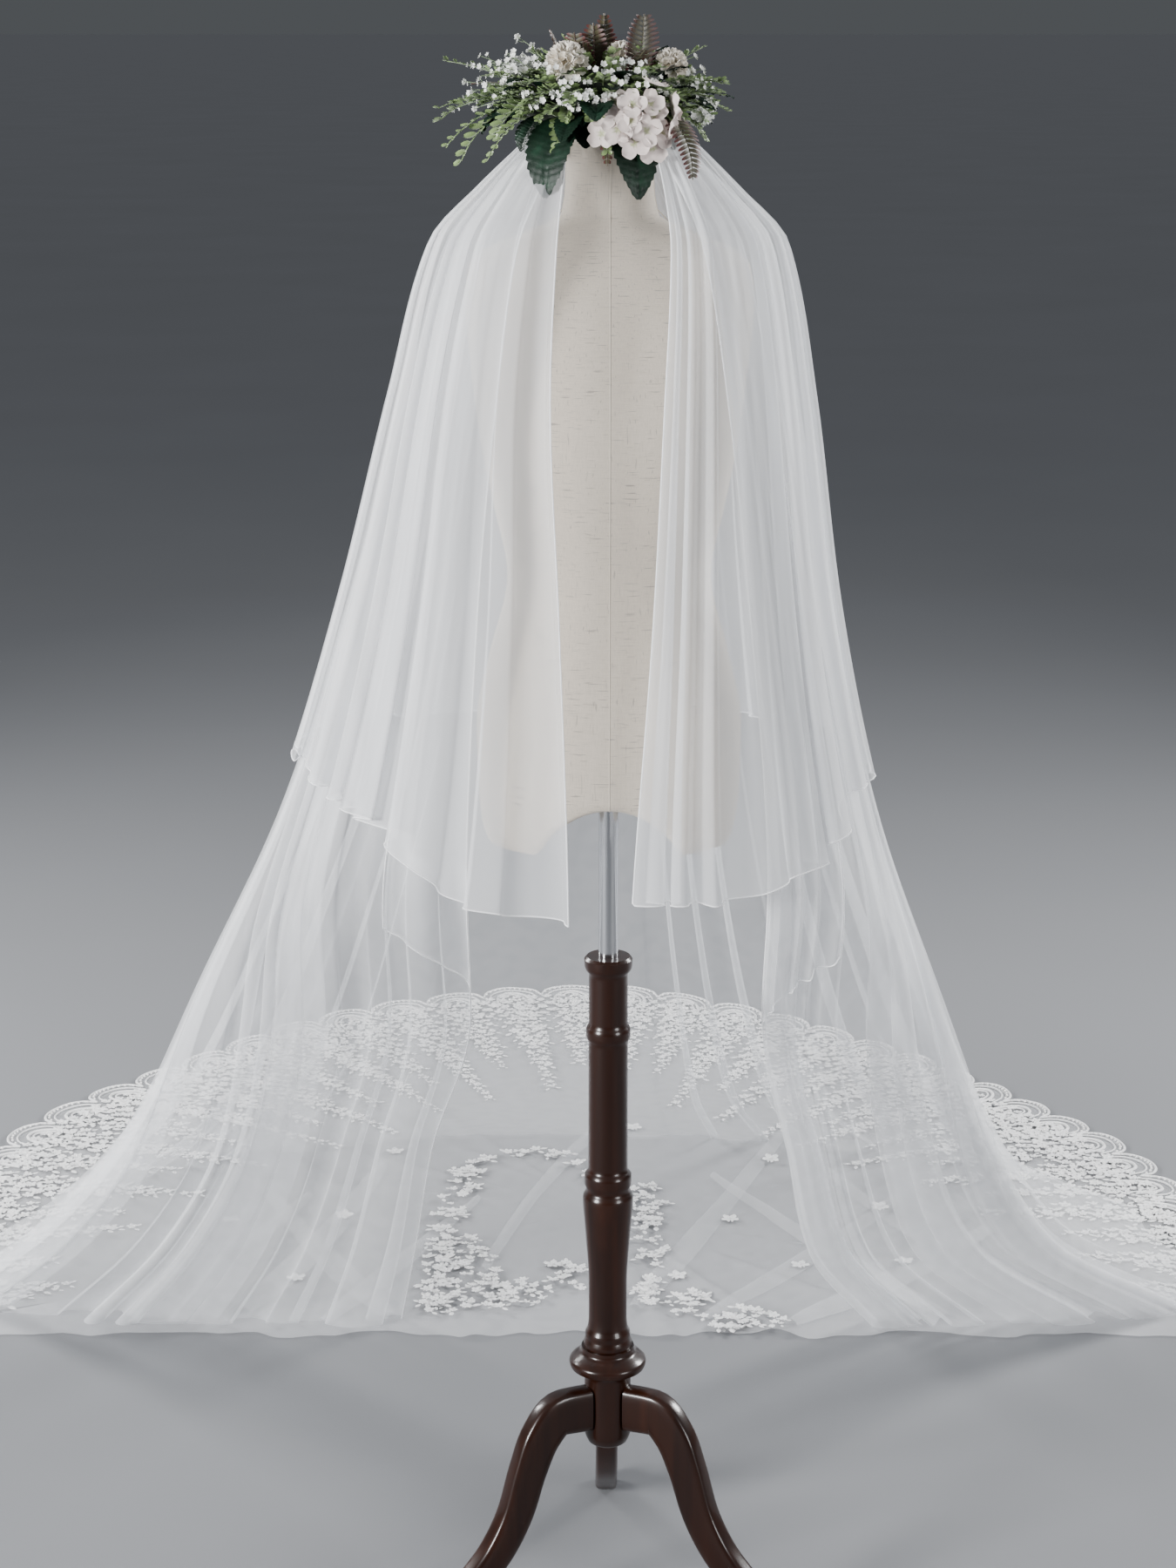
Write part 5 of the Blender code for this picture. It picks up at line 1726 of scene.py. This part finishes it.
class VEIL_OT_greenery(bpy.types.Operator):
    """Makes the headpiece's leaves, ferns and light green sprigs"""

    bl_idname = "veil.greenery"
    bl_label = "Greenery"

    def execute(self, context):
        colours = context.scene.flower_colours
        picks = random.Random(5)
        leaves, ferns, sprigs = bmesh.new(), bmesh.new(), bmesh.new()
        for frond in [*DARK_LEAVES.values(), *MORE_LEAVES]:
            serrated_leaf(leaves, frond)
        for frond in [*FERNS.values(), *MORE_FERNS]:
            fern_frond(ferns, frond)
        for frond in [*SPRIGS.values(), *MORE_SPRIGS]:
            leafy_sprig(sprigs, frond, picks)
        for number in range(FILLERS):
            azimuth = 360.0 * number * FILLER_TURN + picks.uniform(-8.0, 8.0)
            lift = -40.0 + 118.0 * number / FILLERS
            short = picks.uniform(0.030, 0.046)
            pitch = 0.8 * lift + picks.uniform(0.0, 24.0)
            if number % 3:
                leafy_sprig(sprigs, Frond(azimuth, lift, pitch, short, 0.030, 50.0), picks)
            else:
                serrated_leaf(leaves, Frond(azimuth, lift, pitch, short, 0.62 * short, 50.0), 24)
        for _ in range(FRONT_FILLERS):
            azimuth, lift = picks.uniform(-150.0, -35.0), picks.uniform(-24.0, 48.0)
            pitch = 0.5 * lift + picks.uniform(-10.0, 30.0)
            short = picks.uniform(0.022, 0.036)
            leafy_sprig(sprigs, Frond(azimuth, lift, pitch, short, 0.028, 50.0), picks)
        finish_piece("dark_leaves", leaves, leaf_green(), list(DARK_LEAVES))
        fern = along_material("fern_leaf", (0.058, 0.050, 0.020), tuple(colours.fern), 0.5, 0.4)
        finish_piece("ferns", ferns, fern, list(FERNS))
        sprig = along_material("sprig_leaf", scaled(colours.sprig, 0.45), tuple(colours.sprig), 0.5)
        finish_piece("leafy_sprigs", sprigs, sprig, list(SPRIGS))
        moss_base()
        return {"FINISHED"}


def moss_base():
    """The headpiece's base: an oval of dark moss under the flowers."""
    bm = bmesh.new()
    bmesh.ops.create_uvsphere(bm, u_segments=72, v_segments=36, radius=1.0)
    for v in bm.verts:
        lump = 0.94 + 0.03 * math.sin(23.0 * v.co.x + 11.0 * v.co.z) * math.cos(19.0 * v.co.y)
        v.co = BASE_CENTRE + Vector([half * c * lump for half, c in zip(BASE_HALF, v.co)])
    dark = (0.012, 0.026, 0.010)
    moss = along_material("moss", scaled(dark, 0.6), dark, 0.9)
    finish_piece("moss_base", bm, moss, ["headpiece_base"])


class VEIL_OT_flowers(bpy.types.Operator):
    """Makes the headpiece's hydrangea, ruffled heads, blossoms and fine white sprays"""

    bl_idname = "veil.flowers"
    bl_label = "Flowers"

    def execute(self, context):
        colours = context.scene.flower_colours
        picks = random.Random(8)
        large = bmesh.new()
        flanks = [place for place in on_head(HYDRANGEA, 20, picks) if place[1].y > -0.35]
        for at, normal in [*hydrangea_front(), *flanks]:
            floret(large, at, normal, picks.uniform(0.0160, 0.0190), 4, 0.22, picks)
        shell = tuple(colours.petal)
        pink = along_material("hydrangea_petal", (0.34, 0.38, 0.18), shell, 0.55, 0.0, 0.26)
        finish_piece("hydrangea_petals", large, pink, ["hydrangea"])
        ruffled = bmesh.new()
        for head in RUFFLED_HEADS.values():
            for at, normal in on_head(head, 34, picks):
                floret(ruffled, at - normal * 0.3 * head.radius, normal, 0.5 * head.radius, 5, 0.9, picks)
        cream = along_material("cream_petal", (0.66, 0.56, 0.40), (0.88, 0.83, 0.74), 0.6, 0.0, 0.6)
        finish_piece("ruffled_petals", ruffled, cream, list(RUFFLED_HEADS))
        small = bmesh.new()
        for head in BLOSSOM_HEADS.values():
            for at, normal in on_head(head, 24, picks):
                floret(small, at, normal, 0.0088, 5, 0.25, picks)
        sprays(small, picks)
        white = along_material("white_petal", (0.70, 0.74, 0.55), (0.90, 0.91, 0.88), 0.6, 0.0, 0.3)
        finish_piece("white_blossoms", small, white, list(BLOSSOM_HEADS))
        return {"FINISHED"}


def hydrangea_front():
    """Places of the hydrangea's front florets, on a flattened oval, and where they face."""
    places = []
    for number, spot in enumerate(HYDRANGEA_FRONT):
        across = (spot.x - HYDRANGEA_MIDDLE.x) / HYDRANGEA_HALF.x
        up = (spot.z - HYDRANGEA_MIDDLE.z) / HYDRANGEA_HALF.z
        out = math.sqrt(max(1.0 - across * across - up * up, 0.04)) + 0.10 * (number % 2)
        at = Vector((spot.x, HYDRANGEA_MIDDLE.y - HYDRANGEA_HALF.y * out, spot.z))
        places.append((at, Vector((0.55 * across, -1.0, 0.55 * up + 0.15)).normalized()))
    return places


def sprays(bm, picks):
    """Fine branching stems with tiny white blossoms, thickest at both ends and the back."""
    stems = bmesh.new()
    for number in range(120):
        azimuth = picks.choice((180.0, 180.0, 0.0, 0.0, -125.0, -100.0, -80.0, 90.0, 60.0, 120.0))
        azimuth += picks.uniform(-34.0, 34.0)
        lift = picks.uniform(-4.0, 60.0)
        reach = picks.uniform(0.026, 0.062)
        reach *= 1.25 if abs(abs(azimuth) - 180.0) < 35.0 else 0.80
        frond = Frond(azimuth, lift, lift * 0.8 + picks.uniform(-8.0, 14.0), reach, 0.0, 22.0)
        frames = rib(frond, 6)
        tube(stems, [f[0] for f in frames], 0.0004, 4)
        for k in range(3, 7):
            at, side, forward, up = frames[k]
            way = (-1.0) ** k
            out = (side * way * 0.8 + forward * 0.7 + up * picks.uniform(-0.3, 0.6)).normalized()
            tip = at + out * picks.uniform(0.006, 0.012)
            if k == 6:
                tip = at
            tube(stems, [at - forward * 0.001, tip], 0.0003, 4)
            floret(bm, tip, (forward + out).normalized(), picks.uniform(0.0026, 0.0042), 5, 0.4, picks)
    green = along_material("spray_stem", (0.16, 0.24, 0.12), (0.30, 0.40, 0.22), 0.6)
    finish_piece("spray_stems", stems, green, ())


class VEIL_PT_panel(bpy.types.Panel):
    bl_label = "Bridal veil"
    bl_idname = "VEIL_PT_panel"
    bl_space_type = "VIEW_3D"
    bl_region_type = "UI"
    bl_category = "Veil"

    def draw(self, context):
        for name, group in SETTINGS.items():
            box = self.layout.box()
            for key in group.__annotations__:
                box.prop(getattr(context.scene, name), key)
        for operator in OPERATORS:
            self.layout.operator(operator.bl_idname)


SETTINGS = {
    "veil_cloth": VeilCloth,
    "lace_work": LaceWork,
    "flower_colours": FlowerColours,
    "form_and_stand": FormAndStand,
    "studio_stage": StudioStage,
}
OPERATORS = [
    VEIL_OT_camera,
    VEIL_OT_stage,
    VEIL_OT_stand,
    VEIL_OT_form,
    VEIL_OT_tiers,
    VEIL_OT_train,
    VEIL_OT_lace,
    VEIL_OT_greenery,
    VEIL_OT_flowers,
]


def register():
    for group in SETTINGS.values():
        bpy.utils.register_class(group)
    for operator in OPERATORS:
        bpy.utils.register_class(operator)
    bpy.utils.register_class(VEIL_PT_panel)
    for name, group in SETTINGS.items():
        setattr(bpy.types.Scene, name, bpy.props.PointerProperty(type=group))


def unregister():
    for name in SETTINGS:
        delattr(bpy.types.Scene, name)
    bpy.utils.unregister_class(VEIL_PT_panel)
    for made in [*OPERATORS, *SETTINGS.values()]:
        bpy.utils.unregister_class(made)


def main():
    register()
    edge_thread()
    bpy.ops.veil.camera()
    bpy.ops.veil.stage()
    bpy.ops.veil.stand()
    bpy.ops.veil.form()
    bpy.ops.veil.tiers()
    bpy.ops.veil.train()
    bpy.ops.veil.lace()
    bpy.ops.veil.greenery()
    bpy.ops.veil.flowers()


if __name__ == "__main__":
    main()
